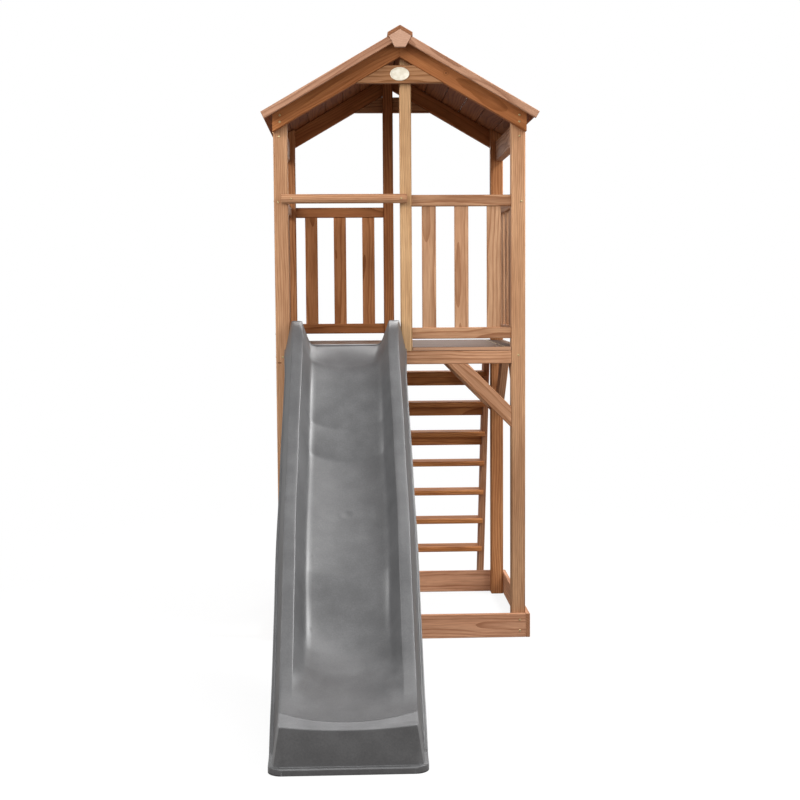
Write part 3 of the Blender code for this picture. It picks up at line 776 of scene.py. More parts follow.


# Every kind of timber took the stain in its own way, so each has two tones of its own: the ground
# of the early wood and the line of the late wood. The tones of the back timbers, the roof boards
# and the deck are darker with painted shade. Small or short timbers have smaller knots.
POST_PINE = StainedPine("stained_pine_post", "#D0A37D", "#B48460")
HONEY_PINE = StainedPine("stained_pine_honey", "#E0B88B", "#C9A074", knot_size=4 * MM)
RAIL_PINE = StainedPine("stained_pine_rail", "#C39673", "#A17353")
SLAT_PINE = StainedPine("stained_pine_slat", "#CA9F7C", "#AC805F", ring_pitch=11 * MM)
# Darker, warmer copies of the stain for the timbers at the back: painted shade; the one for the back
# middle post and back rails is darker still
BACK_PAINTED_SHADE_PINE = StainedPine("stained_pine_back_painted_shade", "#C98E60", "#A36A40", ring_pitch=11 * MM)
DARK_PAINTED_SHADE_PINE = StainedPine("stained_pine_dark_painted_shade", "#B4794D", "#905A34", ring_pitch=11 * MM)
BEAM_PINE = StainedPine("stained_pine_beam", "#CC9C79", "#A87857")
BASE_PINE = StainedPine("stained_pine_base", "#DAA785", "#B88566")
# Painted shade darkens the broad faces, and painted light makes the edges that look along the width
# paler
DECK_PAINTED_LIGHT_AND_SHADE_PINE = StainedPine("stained_pine_deck", "#80634C", "#664A36", edge="#DBA987",
                        gloss=0.15)
TREAD_PINE = StainedPine("stained_pine_tread", "#C88955", "#A66B3F")
RAFTER_PINE = StainedPine("stained_pine_rafter", "#B27447", "#9A6137")
COLLAR_PINE = StainedPine("stained_pine_collar", "#C09068", "#9C6E48")
# Darker copy of the stain for the roof boards: painted shade
ROOF_PAINTED_SHADE_PINE = StainedPine("stained_pine_roof_painted_shade", "#9B6440", "#825032", knot_size=4 * MM)
BARGE_PINE = StainedPine("stained_pine_barge", "#B98E73", "#9C7259", knot_size=4 * MM)
BLOCK_PINE = StainedPine("stained_pine_block", "#C9A48C", "#B38B72", end="#B8917A",
                         knot_size=3 * MM)
CAP_PINE = StainedPine("stained_pine_cap", "#A87A5C", "#86583C", knot_size=4 * MM)
# Fine grained skin on the slide's foot, rough so that it scatters the light: duller than the rest,
# and paler with painted light
PAINTED_LIGHT_FOOT_BAND = MouldedPolyethylene("textured_grey_polyethylene_painted_light", body="#6A6A6B", dark="#626263",
                                pale="#737374", speck=3 * MM, roughness=0.55, bump=0.4 * MM)


@dataclass
class TowerFrame:
    """Posts, base boards, rim beams, deck and knee braces."""

    post_round: float = 5 * MM
    board_round: float = 3 * MM
    deck_round: float = 2.5 * MM
    brace_width: float = 60 * MM

    def build(self) -> None:
        """Draw every timber of the frame again."""
        self.posts()
        self.boards()
        self.braces()

    def posts(self) -> None:
        """Square posts, cut at their heads to the slope of the roof."""
        names = {"front_left_post": POST_PINE, "front_right_post": POST_PINE,
                 "back_left_post": BACK_PAINTED_SHADE_PINE, "back_right_post": BACK_PAINTED_SHADE_PINE,
                 "front_middle_post": HONEY_PINE, "back_middle_post": DARK_PAINTED_SHADE_PINE}
        for name, pine in names.items():
            low, high = box_of(name)
            side = 1.0 if low[0] + high[0] > 0.0 else -1.0
            slope = np.array([side * math.sin(ROOF_PITCH), 0.0, math.cos(ROOF_PITCH)])
            inner = low[0] if side > 0.0 else high[0]
            head = np.array([inner, low[1], high[2]])
            whole = Timber.in_box(name, low, high, Axis.Z, self.post_round)
            replace(whole, end=Cut(head, slope)).build(pine)

    def boards(self) -> None:
        """Base boards on edge, rim beams and the boards of the deck."""
        for end in ("front", "back"):
            Timber.of_node(f"{end}_base_board", Axis.X, self.board_round).build(BASE_PINE)
            Timber.of_node(f"{end}_rim_beam", Axis.X).build(BEAM_PINE)
        for side in ("left", "right"):
            Timber.of_node(f"{side}_base_board", Axis.Y, self.board_round).build(BASE_PINE)
            Timber.of_node(f"{side}_rim_beam", Axis.Y).build(BEAM_PINE)
        for number in range(2, DECK_BOARDS):
            Timber.of_node(f"deck_board_{number}", Axis.X, self.deck_round).build(DECK_PAINTED_LIGHT_AND_SHADE_PINE)
        for number in (1, DECK_BOARDS):
            dress_solid(f"deck_board_{number}", DECK_PAINTED_LIGHT_AND_SHADE_PINE, Axis.X.unit, Axis.Y.unit)

    def braces(self) -> None:
        """Braces at 45 degrees, cut level under the beam and upright at the post."""
        for name, level, outward in (("front_right_brace", Axis.X, 1),
                                     ("back_right_brace", Axis.X, 1),
                                     ("left_side_front_brace", Axis.Y, -1),
                                     ("left_side_back_brace", Axis.Y, 1),
                                     ("right_side_front_brace", Axis.Y, -1),
                                     ("right_side_back_brace", Axis.Y, 1)):
            low, high = box_of(name)
            towards = outward * level.unit
            along = (Axis.Z.unit - towards) / math.sqrt(2.0)
            across = (Axis.Z.unit + towards) / math.sqrt(2.0)
            thin = Axis.Y if level is Axis.X else Axis.X
            # Where the post meets the beam, which lies in the planes of both cuts
            corner = (low + high) / 2
            corner[level.value] = high[level.value] if outward > 0 else low[level.value]
            corner[2] = high[2]
            reach = (high - low)[2]
            middle = corner - across * (reach / math.sqrt(2.0) - self.brace_width / 2)
            Timber(name, Grain(middle, along, across), self.brace_width,
                   (high - low)[thin.value], Cut(corner, towards),
                   Cut(corner, Axis.Z.unit)).build(BEAM_PINE)


@dataclass
class Railings:
    """Four railings of two rails with slats let into them, and the round bar."""

    rail_height: float = 45 * MM
    slat_width: float = 56 * MM
    slat_thickness: float = 16 * MM
    slat_gap: float = 74 * MM
    rail_round: float = 4 * MM
    slat_round: float = 2.5 * MM
    slat_let_in: float = 2 * MM
    bar_round: float = 6 * MM
    bar_segments: int = 32

    def build(self) -> None:
        """Draw the railings and the bar again."""
        for node, axis, count, rails, slats in (
                ("front_railing", Axis.X, 3, RAIL_PINE, SLAT_PINE),
                ("back_railing", Axis.X, 3, DARK_PAINTED_SHADE_PINE, BACK_PAINTED_SHADE_PINE),
                ("left_railing", Axis.Y, 5, RAIL_PINE, SLAT_PINE),
                ("right_railing", Axis.Y, 5, RAIL_PINE, SLAT_PINE)):
            self.railing(node, axis, count, rails, slats)
        self.bar()

    def railing(self, node: str, axis: Axis, count: int, rails: StainedPine,
                slats: StainedPine) -> None:
        """Top rail, bottom rail and slats of one bay.

        Args:
            node: Solid of the frame that the railing stands for.
            axis: Direction of its rails.
            count: Number of slats, spread evenly about the middle of the bay.
            rails: Finish of the rails.
            slats: Finish of the slats.
        """
        low, high = box_of(node)
        head = low.copy()
        head[2] = high[2] - self.rail_height
        sill = high.copy()
        sill[2] = low[2] + self.rail_height
        Timber.in_box(f"{node}_top_rail", head, high, axis, self.rail_round).build(rails, node)
        Timber.in_box(f"{node}_bottom_rail", low, sill, axis, self.rail_round).build(rails, node)
        thin = Axis.Y if axis is Axis.X else Axis.X
        centre = (low + high) / 2
        for number in range(count):
            shift = (number - (count - 1) / 2) * (self.slat_width + self.slat_gap)
            half = np.zeros(3)
            half[axis.value] = self.slat_width / 2
            half[thin.value] = self.slat_thickness / 2
            half[2] = (head[2] - sill[2]) / 2 + self.slat_let_in
            middle = centre + shift * axis.unit
            Timber.in_box(f"{node}_slat_{number + 1}", middle - half, middle + half, Axis.Z,
                          self.slat_round).build(slats, node)

    def bar(self) -> None:
        """Round bar: circles about its axis, drawn in at the ends along a quarter circle."""
        low, high = box_of("handrail_bar")
        middle = (low + high) / 2
        radius = (high[2] - low[2]) / 2
        bend = np.linspace(0.0, math.pi / 2, 5)
        runs = low[0] + self.bar_round * (1.0 - np.sin(bend))
        sizes = radius - self.bar_round * (1.0 - np.cos(bend))
        runs = np.concatenate((runs[::-1], (low[0] + high[0]) - runs))
        sizes = np.concatenate((sizes[::-1], sizes))
        turns = round_turns(self.bar_segments)
        points = np.stack(np.broadcast_arrays(
            runs[:, None], middle[1] + sizes[:, None] * np.cos(turns),
            middle[2] + sizes[:, None] * np.sin(turns)), axis=2)
        faces = bar_faces(*points.shape[:2])
        finish = RAIL_PINE.material("handrail_bar", Grain(middle, Axis.X.unit, Axis.Y.unit))
        smooth = np.arange(len(faces)) < len(faces) - 2
        put_piece("handrail_bar", points.reshape(-1, 3), faces, smooth, finish, Slot.PINE,
                  "handrail_bar")


@dataclass(frozen=True)
class RoofPlane:
    """Upper face of one slope: it falls from the peak to the eave.

    Its side is one for the right slope and minus one for the left.
    """

    word: str
    side: float
    peak: float
    length: float

    @property
    def down(self) -> np.ndarray:
        """Direction of the fall."""
        return np.array([self.side * math.cos(ROOF_PITCH), 0.0, -math.sin(ROOF_PITCH)])

    @property
    def out(self) -> np.ndarray:
        """Direction square to the slope, upwards."""
        return np.array([self.side * math.sin(ROOF_PITCH), 0.0, math.cos(ROOF_PITCH)])

    def spot(self, fallen: float, y: float, depth: float) -> np.ndarray:
        """Point at a distance down the slope and a depth below its upper face."""
        return (np.array([0.0, y, self.peak]) + self.down * fallen - self.out * depth)


@dataclass
class Roof:
    """Grooved boards, barge strips, rafters, collar ties and beams.

    The radius of the boards' long edges is the depth of half a groove. The barge strips start
    where the ridge caps end.
    """

    boards: int = 7
    board_thickness: float = 15 * MM
    barge_depth: float = 30 * MM
    barge_thickness: float = 15 * MM
    barge_start: float = 51.7 * MM
    barge_round: float = 3 * MM
    barge_gap: float = 1 * MM
    groove: float = 5 * MM
    rafter_depth: float = 66 * MM

    def build(self) -> None:
        """Draw the roof again from the ridge down."""
        low, high = box_of("left_roof_boards")
        # The slopes end half a gap off the middle, and the strips hang lowest at the eaves
        peak = high[2] + CLEAR / 2 * math.tan(ROOF_PITCH)
        eave = low[2] + self.barge_depth * math.cos(ROOF_PITCH)
        length = (peak - eave) / math.sin(ROOF_PITCH)
        for word, side in (("left", -1.0), ("right", 1.0)):
            plane = RoofPlane(word, side, peak, length)
            self.slope(plane, low[1], high[1])
            self.barge_strips(plane, low[1], high[1])
            for end in ("front", "back"):
                self.rafter(f"{end}_{word}_rafter", plane)
            Timber.of_node(f"{word}_top_beam", Axis.Y).build(BEAM_PINE)
            dress_solid(f"{word}_ridge_cap", CAP_PINE, Axis.Y.unit, Axis.X.unit)
        for end in ("front", "back"):
            self.collar_tie(f"{end}_collar_tie")
            dress_solid(f"{end}_ridge_block", BLOCK_PINE, Axis.Y.unit, Axis.X.unit)

    def slope(self, plane: RoofPlane, front: float, back: float) -> None:
        """Boards along the ridge, whose eased edges meet in V grooves.

        Args:
            plane: Upper face of the slope.
            front: Front end of the roof.
            back: Back end of the roof.
        """
        covered = self.barge_thickness + self.barge_gap
        start = Cut(np.array([0.0, front + covered, 0.0]), Axis.Y.unit)
        end = Cut(np.array([0.0, back - covered, 0.0]), Axis.Y.unit)
        mitre = self.board_thickness * math.tan(ROOF_PITCH)
        for number in range(self.boards):
            near = number / self.boards * plane.length + (mitre if number == 0 else CLEAR)
            far = (number + 1) / self.boards * plane.length
            middle = plane.spot((near + far) / 2, 0.0, self.board_thickness / 2)
            Timber(f"{plane.word}_roof_board_{number + 1}",
                   Grain(middle, Axis.Y.unit, plane.down), far - near, self.board_thickness,
                   start, end, self.groove).build(ROOF_PAINTED_SHADE_PINE, f"{plane.word}_roof_boards")

    def barge_strips(self, plane: RoofPlane, front: float, back: float) -> None:
        """Strips over the ends of the boards, from the ridge caps to the eave.

        Args:
            plane: Upper face of the slope.
            front: Front end of the roof.
            back: Back end of the roof.
        """
        half = self.barge_thickness / 2
        for end, y in (("front", front + half), ("back", back - half)):
            middle = plane.spot(0.0, y, self.barge_depth / 2)
            head = Cut(plane.spot(self.barge_start, y, 0.0), plane.down)
            eave = Cut(plane.spot(plane.length, y, 0.0), plane.down)
            strip = Timber(f"{end}_{plane.word}_barge_strip", Grain(middle, plane.down, plane.out),
                           self.barge_depth, self.barge_thickness, head, eave, self.barge_round)
            strip.build(BARGE_PINE, f"{plane.word}_roof_boards")

    def rafter(self, name: str, plane: RoofPlane) -> None:
        """Rafter under the boards, cut upright at the ridge and at the post.

        Args:
            name: Name of the rafter.
            plane: Upper face of the slope that it carries.
        """
        low, high = box_of(name)
        depth = self.board_thickness + CLEAR + self.rafter_depth / 2
        middle = plane.spot(plane.length / 2, (low[1] + high[1]) / 2, depth)
        inner, outer = (low, high) if plane.side > 0.0 else (high, low)
        Timber(name, Grain(middle, plane.down, plane.out), self.rafter_depth, high[1] - low[1],
               Cut(inner, Axis.X.unit), Cut(outer, Axis.X.unit)).build(RAFTER_PINE)

    def collar_tie(self, name: str) -> None:
        """Level tie, cut at its ends to the lower edges of the rafters.

        Args:
            name: Name of the tie.
        """
        low, high = box_of(name)
        grain = Grain((low + high) / 2, Axis.X.unit, Axis.Z.unit)
        left = np.array([-math.sin(ROOF_PITCH), 0.0, math.cos(ROOF_PITCH)])
        right = np.array([math.sin(ROOF_PITCH), 0.0, math.cos(ROOF_PITCH)])
        Timber(name, grain, high[2] - low[2], high[1] - low[1], Cut(low, left),
               Cut(np.array([high[0], high[1], low[2]]), right)).build(COLLAR_PINE)


@dataclass
class Ladder:
    """Treads with rounded noses, risers, and the two stringers that house the treads."""

    treads: int = 7
    risers: int = 3
    nose_round: float = 6 * MM
    riser_round: float = 3 * MM
    lean: float = math.radians(15.6)

    def build(self) -> None:
        """Draw treads and risers again, and dress the stringers."""
        for number in range(1, self.treads + 1):
            Timber.of_node(f"tread_{number}", Axis.X, self.nose_round).build(TREAD_PINE)
        for number in range(1, self.risers + 1):
            Timber.of_node(f"riser_{number}", Axis.X, self.riser_round).build(TREAD_PINE)
        up = np.array([0.0, -math.sin(self.lean), math.cos(self.lean)])
        back = np.array([0.0, math.cos(self.lean), math.sin(self.lean)])
        for word in ("left", "right"):
            dress_solid(f"{word}_stringer", BEAM_PINE, up, back)


@dataclass
class OvalPlate:
    """Bare oval plate with a thin raised rim.

    Each ring of the oval has a share of the full size and a share of the thickness.
    """

    segments: int = 64
    rings: Course = ((1.0, 0.0), (1.0, 0.6), (0.985, 0.92), (0.95, 1.0), (0.91, 0.95),
                     (0.875, 0.7), (0.86, 0.62), (0.6, 0.66), (0.3, 0.7), (0.02, 0.7))

    def build(self) -> None:
        """Lay the rings on the wood and close the plate with a small lid."""
        low, high = box_of("oval_plate")
        shares, heights = np.array(self.rings).T
        thick = high[1] - low[1]
        turns = round_turns(self.segments)
        middle = (low + high) / 2
        half = (high - low) / 2
        points = np.stack(np.broadcast_arrays(
            middle[0] + shares[:, None] * half[0] * np.cos(turns),
            high[1] - heights[:, None] * thick,
            middle[2] + shares[:, None] * half[2] * np.sin(turns)), axis=2)
        faces = bar_faces(*points.shape[:2])
        put_piece("oval_plate", points.reshape(-1, 3), faces, np.ones(len(faces), dtype=bool),
                  CreamEnamel().material(), Slot.ENAMEL, "oval_plate")


@dataclass(frozen=True)
class SlideLines:
    """Heights, at every station, of the lines that the cross sections of the slide hang on.

    From the middle outwards they are the middle of the bed, its edge, the flange, the brow over
    the bead or band, and the lower edge of the skirt.
    """

    bed: np.ndarray
    edge: np.ndarray
    flange: np.ndarray
    brow: np.ndarray
    skirt: np.ndarray


@dataclass
class Slide:
    """Hollow moulded slide: a wavy dished bed between flanges, a skirt and a foot.

    Stations run down the slide and columns run across it. The slopes at the listed shares of
    the run are added up to the two falling lines of the bed and of the flanges. A dimple has its
    station, its place on both sides of the middle and its radius.
    """

    # Length and heights
    run: float = 1.558
    bed_end: float = 1.500
    ear_height: float = 0.108
    foot_height: float = 0.140
    foot_bed: float = 0.128
    skirt_depth: float = 0.160
    wall: float = 6 * MM
    # Cross section, from the outside inwards
    bead_width: float = 12 * MM
    bead_height: float = 21 * MM
    band_height: float = 46 * MM
    band_ledge: float = 4 * MM
    flare: float = 18 * MM
    flange: float = 42 * MM
    cheek: float = 38 * MM
    dish: float = 28 * MM
    # Front wall of the foot
    slant: float = 10 * MM
    nose_run: float = 12 * MM
    toe: float = 3 * MM
    foot_corner: float = 42 * MM
    # Curved line across the foot: where it starts in the middle, and how much it bows
    foot_line: tuple[float, float] = (1.478, 0.85)
    line_bead: float = 1.2 * MM
    line_bead_width: float = 4 * MM
    # Rolled edge at the head: where each swell lies, and how high it is
    rolls: Course = ((5 * MM, 1.5 * MM), (15 * MM, -2.0 * MM))
    roll_width: float = 4 * MM
    roll_run: float = 30 * MM
    # Lip on the deck, whose nose is given as a share of its thickness
    lip_thickness: float = 12 * MM
    lip_run: float = 70 * MM
    lip_tail: float = 2 * MM
    lip_corner: float = 30 * MM
    lip_nose: float = 0.45
    # Ribs in the hollow
    rib_count: int = 4
    rib_thickness: float = 6 * MM
    rib_recess: float = 6 * MM
    # Dents in the bed
    bed_steepness: float = 1.3
    dimple_depth: float = 0.11
    dimple_ring: Place = (0.45, 1.8, 0.7)
    dimples: tuple[Place, ...] = ((0.664, 0.0, 13 * MM), (0.535, 0.125, 6 * MM),
                                  (0.838, 0.125, 6 * MM), (1.047, 0.125, 6 * MM))
    # How finely the surfaces are drawn
    stations: int = 400
    roll_stations: int = 16
    line_margin: float = 50 * MM
    fine_step: float = 2 * MM
    bed_columns: int = 24
    inner_columns: int = 37
    # Widths in metres and slopes in degrees at shares of the run
    widths: Course = ((0.0, 0.488), (0.12, 0.473), (0.33, 0.488), (0.50, 0.494), (0.62, 0.490),
                      (0.80, 0.488), (1.0, 0.475))
    bed_slopes: Course = ((0.0, 8.0), (0.008, 19.0), (0.104, 31.0), (0.107, 29.0), (0.13, 41.0),
                          (0.18, 47.5), (0.244, 54.5), (0.246, 43.0), (0.302, 54.0),
                          (0.309, 41.0), (0.36, 37.5), (0.44, 36.0), (0.54, 37.0), (0.588, 40.0),
                          (0.598, 46.0), (0.63, 48.0), (0.69, 39.0), (0.742, 29.0),
                          (0.746, 26.0), (0.80, 21.0), (0.804, 18.0), (0.915, 12.5),
                          (0.918, 11.0), (1.0, 7.0))
    flange_slopes: Course = ((0.0, 3.0), (0.05, 20.0), (0.12, 42.0), (0.24, 47.0), (0.34, 44.0),
                             (0.45, 38.0), (0.54, 38.5), (0.64, 43.0), (0.75, 41.0),
                             (0.84, 33.0), (0.92, 22.0), (1.0, 7.0))

    def falling_line(self, shares: np.ndarray, slopes: Course, top: float, foot: float
                     ) -> np.ndarray:
        """Heights along the run: the slopes added up and stretched to the real fall.

        Args:
            shares: Shares of the run to give heights for.
            slopes: Slopes in degrees at shares of the run.
            top: Height at the start.
            foot: Height at the end.

        Returns:
            Heights.
        """
        fine = np.linspace(0.0, 1.0, 801)
        places, angles = np.array(slopes).T
        rates = np.interp(fine, places, np.tan(np.radians(angles)))
        fall = np.concatenate(([0.0], np.cumsum((rates[1:] + rates[:-1]) / 2)))
        return top - (top - foot) * np.interp(shares, fine, fall / fall[-1])

    def eased_line(self, shares: np.ndarray, points: Course) -> np.ndarray:
        """Values between control points, level at each point.

        Between two points the value goes with three times the square of the part covered, less
        twice its cube.

        Args:
            shares: Places to give values for.
            points: Control points.

        Returns:
            Values.
        """
        places, values = np.array(points).T
        index = np.clip(np.searchsorted(places, shares, side="right") - 1, 0, len(places) - 2)
        part = np.clip((shares - places[index]) / (places[index + 1] - places[index]), 0.0, 1.0)
        blend = part * part * (3.0 - 2.0 * part)
        return values[index] + (values[index + 1] - values[index]) * blend

    def soften(self, values: np.ndarray) -> np.ndarray:
        """Round rows of points by cutting their corners: the quarter points of each step stay.

        Args:
            values: Rows of points.

        Returns:
            Longer rows with the same ends.
        """
        near = 0.75 * values[:, :-1] + 0.25 * values[:, 1:]
        far = 0.25 * values[:, :-1] + 0.75 * values[:, 1:]
        cut = np.stack((near, far), axis=2).reshape(len(values), -1)
        return np.concatenate((values[:, :1], cut, values[:, -1:]), axis=1)

    def path(self) -> tuple[np.ndarray, np.ndarray]:
        """Stations down the slide, and the share of its height that the foot leaves at each.

        The share falls from one to nought on the front wall, and on to minus one where the
        front of the bead meets the ground. The stations lie closer at the rolled edge and from
        just before the curved line on the foot.

        Returns:
            Stations and shares.
        """
        wall_foot = self.run - self.bead_width
        wall_head = wall_foot - self.slant
        bed_stop = wall_head - self.nose_run
        line = self.foot_line[0] - self.line_margin
        bed = np.linspace(0.0, bed_stop, self.stations)
        bed = np.concatenate((np.linspace(CLEAR, self.roll_run, self.roll_stations),
                              bed[(bed > self.roll_run + self.fine_step) & (bed < line)],
                              np.arange(line, bed_stop, self.fine_step)))
        nose = np.array([[bed[-1], wall_head, wall_foot, self.run - self.toe, self.run, self.run],
                         [1.0, 1.0, 0.0, 0.0, -0.2, -1.0]])
        fine = np.linspace(0.0, 1.0, 9)[:-1]
        legs = nose[:, :-1, None] + np.diff(nose, axis=1)[:, :, None] * fine
        nose = np.concatenate((legs.reshape(2, -1), nose[:, -1:]), axis=1)
        nose = self.soften(nose)
        runs = np.concatenate((bed[:-1], nose[0]))
        share = np.concatenate((np.ones(len(bed) - 1), nose[1]))
        return runs, share

    def lines(self, runs: np.ndarray, deck: float) -> SlideLines:
        """Lines that run down the slide.

        Args:
            runs: Stations.
            deck: Height of the deck.

        Returns:
            Heights of the lines at every station.
        """
        shares = self.bed_shares(runs)
        flange = self.falling_line(shares, self.flange_slopes, deck + self.ear_height,
                                   self.foot_height)
        bed = self.falling_line(shares, self.bed_slopes, deck + self.lip_thickness,
                                self.foot_bed)
        dish = self.eased_line(shares, ((0.0, 0.0), (0.13, self.dish), (0.85, self.dish),
                                        (1.0, self.foot_height - self.foot_bed)))
        skirt = np.maximum(flange - self.skirt_depth, 0.0)
        brow = skirt + self.eased_line(shares, ((0.0, self.band_height),
                                                (1.0, self.bead_height)))
        return SlideLines(bed, np.minimum(bed + dish, flange), flange, brow, skirt)

    def bed_shares(self, runs: np.ndarray) -> np.ndarray:
        """Shares of the bed's run, up to one, at the stations."""
        return np.clip((runs - CLEAR) / (self.bed_end - CLEAR), 0.0, 1.0)

    def half_width(self, runs: np.ndarray) -> np.ndarray:
        """Half the width at every station, drawn in along a quarter circle at the foot.

        Args:
            runs: Stations.

        Returns:
            Half widths.
        """
        width = self.eased_line(runs / self.run, self.widths)
        turn = np.clip(runs - self.run + self.foot_corner, 0.0, self.foot_corner)
        return width / 2 - self.foot_corner + np.sqrt(self.foot_corner ** 2 - turn ** 2)

    def half_section(self, runs: np.ndarray, lines: SlideLines
                     ) -> tuple[np.ndarray, np.ndarray]:
        """Half of the cross section at every station, from the lower edge to the middle.

        It is a bead, a flared wall, a flange, a cheek and a dished bed, whose height grows with
        the square of the distance from the middle. Next to a corner stands a column on each
        side, at a small share of the part that it belongs to, and rounds it.

        Args:
            runs: Stations.
            lines: Lines that run down the slide.

        Returns:
            Places across and heights, one row for each column.
        """
        half = self.half_width(runs)
        ledge = self.eased_line(self.bed_shares(runs),
                                ((0.0, self.band_ledge), (1.0, self.bead_width)))
        head = self.bead_width + self.flare
        inner = head + self.flange
        foot = inner + self.cheek
        slant = head - ledge
        rise = lines.flange - lines.brow
        drop = lines.flange - lines.edge
        bead = ((0.0, lines.skirt), (0.0, lines.brow - 2 * MM), (1.5 * MM, lines.brow),
                (ledge, lines.brow))
        wall = ((ledge + 0.04 * slant, lines.brow + 0.04 * rise),
                (head - 0.07 * slant, lines.flange - 0.07 * rise))
        flange = ((head + 0.02 * self.flange, lines.flange - 0.008 * rise),
                  (head + 0.09 * self.flange, lines.flange),
                  (inner - 0.12 * self.flange, lines.flange),
                  (inner, lines.flange - 0.02 * drop))
        cheek = ((inner + 0.06 * self.cheek, lines.flange - 0.12 * drop),
                 (foot - 0.42 * self.cheek, lines.edge + 0.30 * drop),
                 (foot - 0.14 * self.cheek, lines.edge + 0.05 * drop))
        columns = (*bead, *wall, *flange, *cheek)
        places = np.linspace(0.90, 0.0, self.bed_columns)[:, None]
        across = np.vstack((*(offset - half for offset, _ in columns), (foot - half) * places))
        heights = np.vstack((*(height for _, height in columns),
                             lines.bed + (lines.edge - lines.bed) * places ** 2))
        return across, heights

    def widened(self, runs: np.ndarray, lines: SlideLines, across: np.ndarray,
                heights: np.ndarray) -> np.ndarray:
        """Heights after the dish has spread over the cheeks and flanges of the foot.

        There the height grows with the square of the share of the way to the flange's rim.

        Args:
            runs: Stations.
            lines: Lines that run down the slide.
            across: Places across, one row for each column of half the section.
            heights: Their heights.

        Returns:
            The new heights.
        """
        wide = self.eased_line(self.bed_shares(runs),
                               ((0.0, 0.0), (0.88, 0.0), (0.97, 1.0), (1.0, 1.0)))
        rim = self.bead_width + self.flare + 0.09 * self.flange - self.half_width(runs)
        part = np.clip(across / rim, 0.0, 1.0)
        bowl = lines.bed + (lines.flange - lines.bed) * part ** 2
        return heights + np.where(part < 1.0, wide * (bowl - heights), 0.0)

    def outer(self, runs: np.ndarray, share: np.ndarray, lines: SlideLines
              ) -> tuple[np.ndarray, np.ndarray]:
        """Upper surface across the slide at every station.

        Half the section is rounded and mirrored. The front wall and the bead then lower it.

        Args:
            runs: Stations.
            share: How much of the height the front wall leaves.
            lines: Lines that run down the slide.

        Returns:
            Places across and heights.
        """
        across, heights = self.half_section(runs, lines)
        heights = self.widened(runs, lines, across, heights)
        across, heights = self.soften(across.T), self.soften(heights.T)
        across = np.hstack((across, -across[:, -2::-1]))
        heights = np.hstack((heights, heights[:, -2::-1]))
        brow = lines.brow[:, None]
        over = np.maximum(heights - brow, 0.0) * np.maximum(share, 0.0)[:, None]
        below = (lines.brow - lines.skirt) * np.minimum(share, 0.0)
        top = brow + over + below[:, None]
        return across, np.where(heights < brow, np.minimum(heights, top), top)

    def dimple(self, runs: np.ndarray, across: np.ndarray) -> np.ndarray:
        """Shallow round dents with a soft raised ring: two bell curves of the distance.

        The distance is given in radii of the dent. It counts a metre of run as more than a
        metre, because the bed is steep. The depth is a share of the radius. The ring has its
        share of the depth, and its distance and width in radii.

        Args:
            runs: Stations.
            across: Places across at every station.

        Returns:
            What the dents add to the heights.
        """
        change = np.zeros_like(across)
        height, place, width = self.dimple_ring
        for run, offset, radius in self.dimples:
            off = np.minimum(np.abs(across - offset), np.abs(across + offset))
            away = np.hypot(self.bed_steepness * (runs[:, None] - run), off) / radius
            dent = np.exp(-away ** 2) - height * np.exp(-((away - place) / width) ** 2)
            change -= self.dimple_depth * radius * dent
        return change

    def beyond_line(self, runs: np.ndarray, across: np.ndarray) -> np.ndarray:
        """Distance past the curved line where the textured band of the foot, paler with painted
        light, begins.
        """
        start, bow = self.foot_line
        return runs[:, None] - start + bow * across ** 2

    def rolled_edge(self, runs: np.ndarray) -> np.ndarray:
        """Bead and groove at the head of the slide, as the sum of two bell curves.

        Args:
            runs: Stations.

        Returns:
            What they add to the heights, one row for each station.
        """
        places, swells = np.array(self.rolls).T
        bells = np.exp(-((runs[:, None] - places) / self.roll_width) ** 2)
        return (bells @ swells)[:, None]

    def inner(self, points: np.ndarray, skirt: np.ndarray) -> np.ndarray:
        """Lower surface: the upper one moved inwards by the wall, square to itself.

        Args:
            points: Upper surface.
            skirt: Height of the lower edge at every station.

        Returns:
            Points of the lower surface, none of them below the lower edge.
        """
        down = np.gradient(points, axis=0)
        over = np.gradient(points, axis=1)
        normal = np.cross(down, over)
        normal /= np.maximum(np.linalg.norm(normal, axis=2, keepdims=True), 1e-9)
        moved = points - normal * self.wall
        moved[:, :, 2] = np.maximum(moved[:, :, 2], skirt[:, None])
        return moved

    def build(self) -> None:
        """Work out both surfaces, whose rows go over the outside and back inside, and make them."""
        low, high = box_of("slide")
        deck = high[2] - self.ear_height
        middle = (low[0] + high[0]) / 2
        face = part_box("front_left_post")[0][1]
        runs, share = self.path()
        lines = self.lines(runs, deck)
        across, heights = self.outer(runs, share, lines)
        beyond = self.beyond_line(runs, across)
        heights += self.dimple(runs, across) + self.rolled_edge(runs)
        line_bell = np.exp(-(beyond / self.line_bead_width) ** 2)
        heights += self.line_bead * line_bell * (share[:, None] == 1.0)
        outer = np.stack((middle + across, np.broadcast_to(face - runs[:, None], across.shape),
                          heights), axis=2)
        inner = self.inner(outer, lines.skirt)
        inner[:, :, 1] = np.clip(inner[:, :, 1], face - self.run + self.wall, face - CLEAR)
        inner[:, :1, 2] = inner[:, -1:, 2] = lines.skirt[:, None]
        finish = MouldedPolyethylene().material()
        on_bed = share[1:, None] > 0.995
        # Faces of the foot band, which take the paler skin of painted light
        painted_light_banded = (beyond[:-1] > 0.0) & on_bed
        self.shell(outer, inner, painted_light_banded, finish)
        self.ribs(runs, inner, lines.skirt, face, finish)
        self.lip(middle, face, deck, finish)

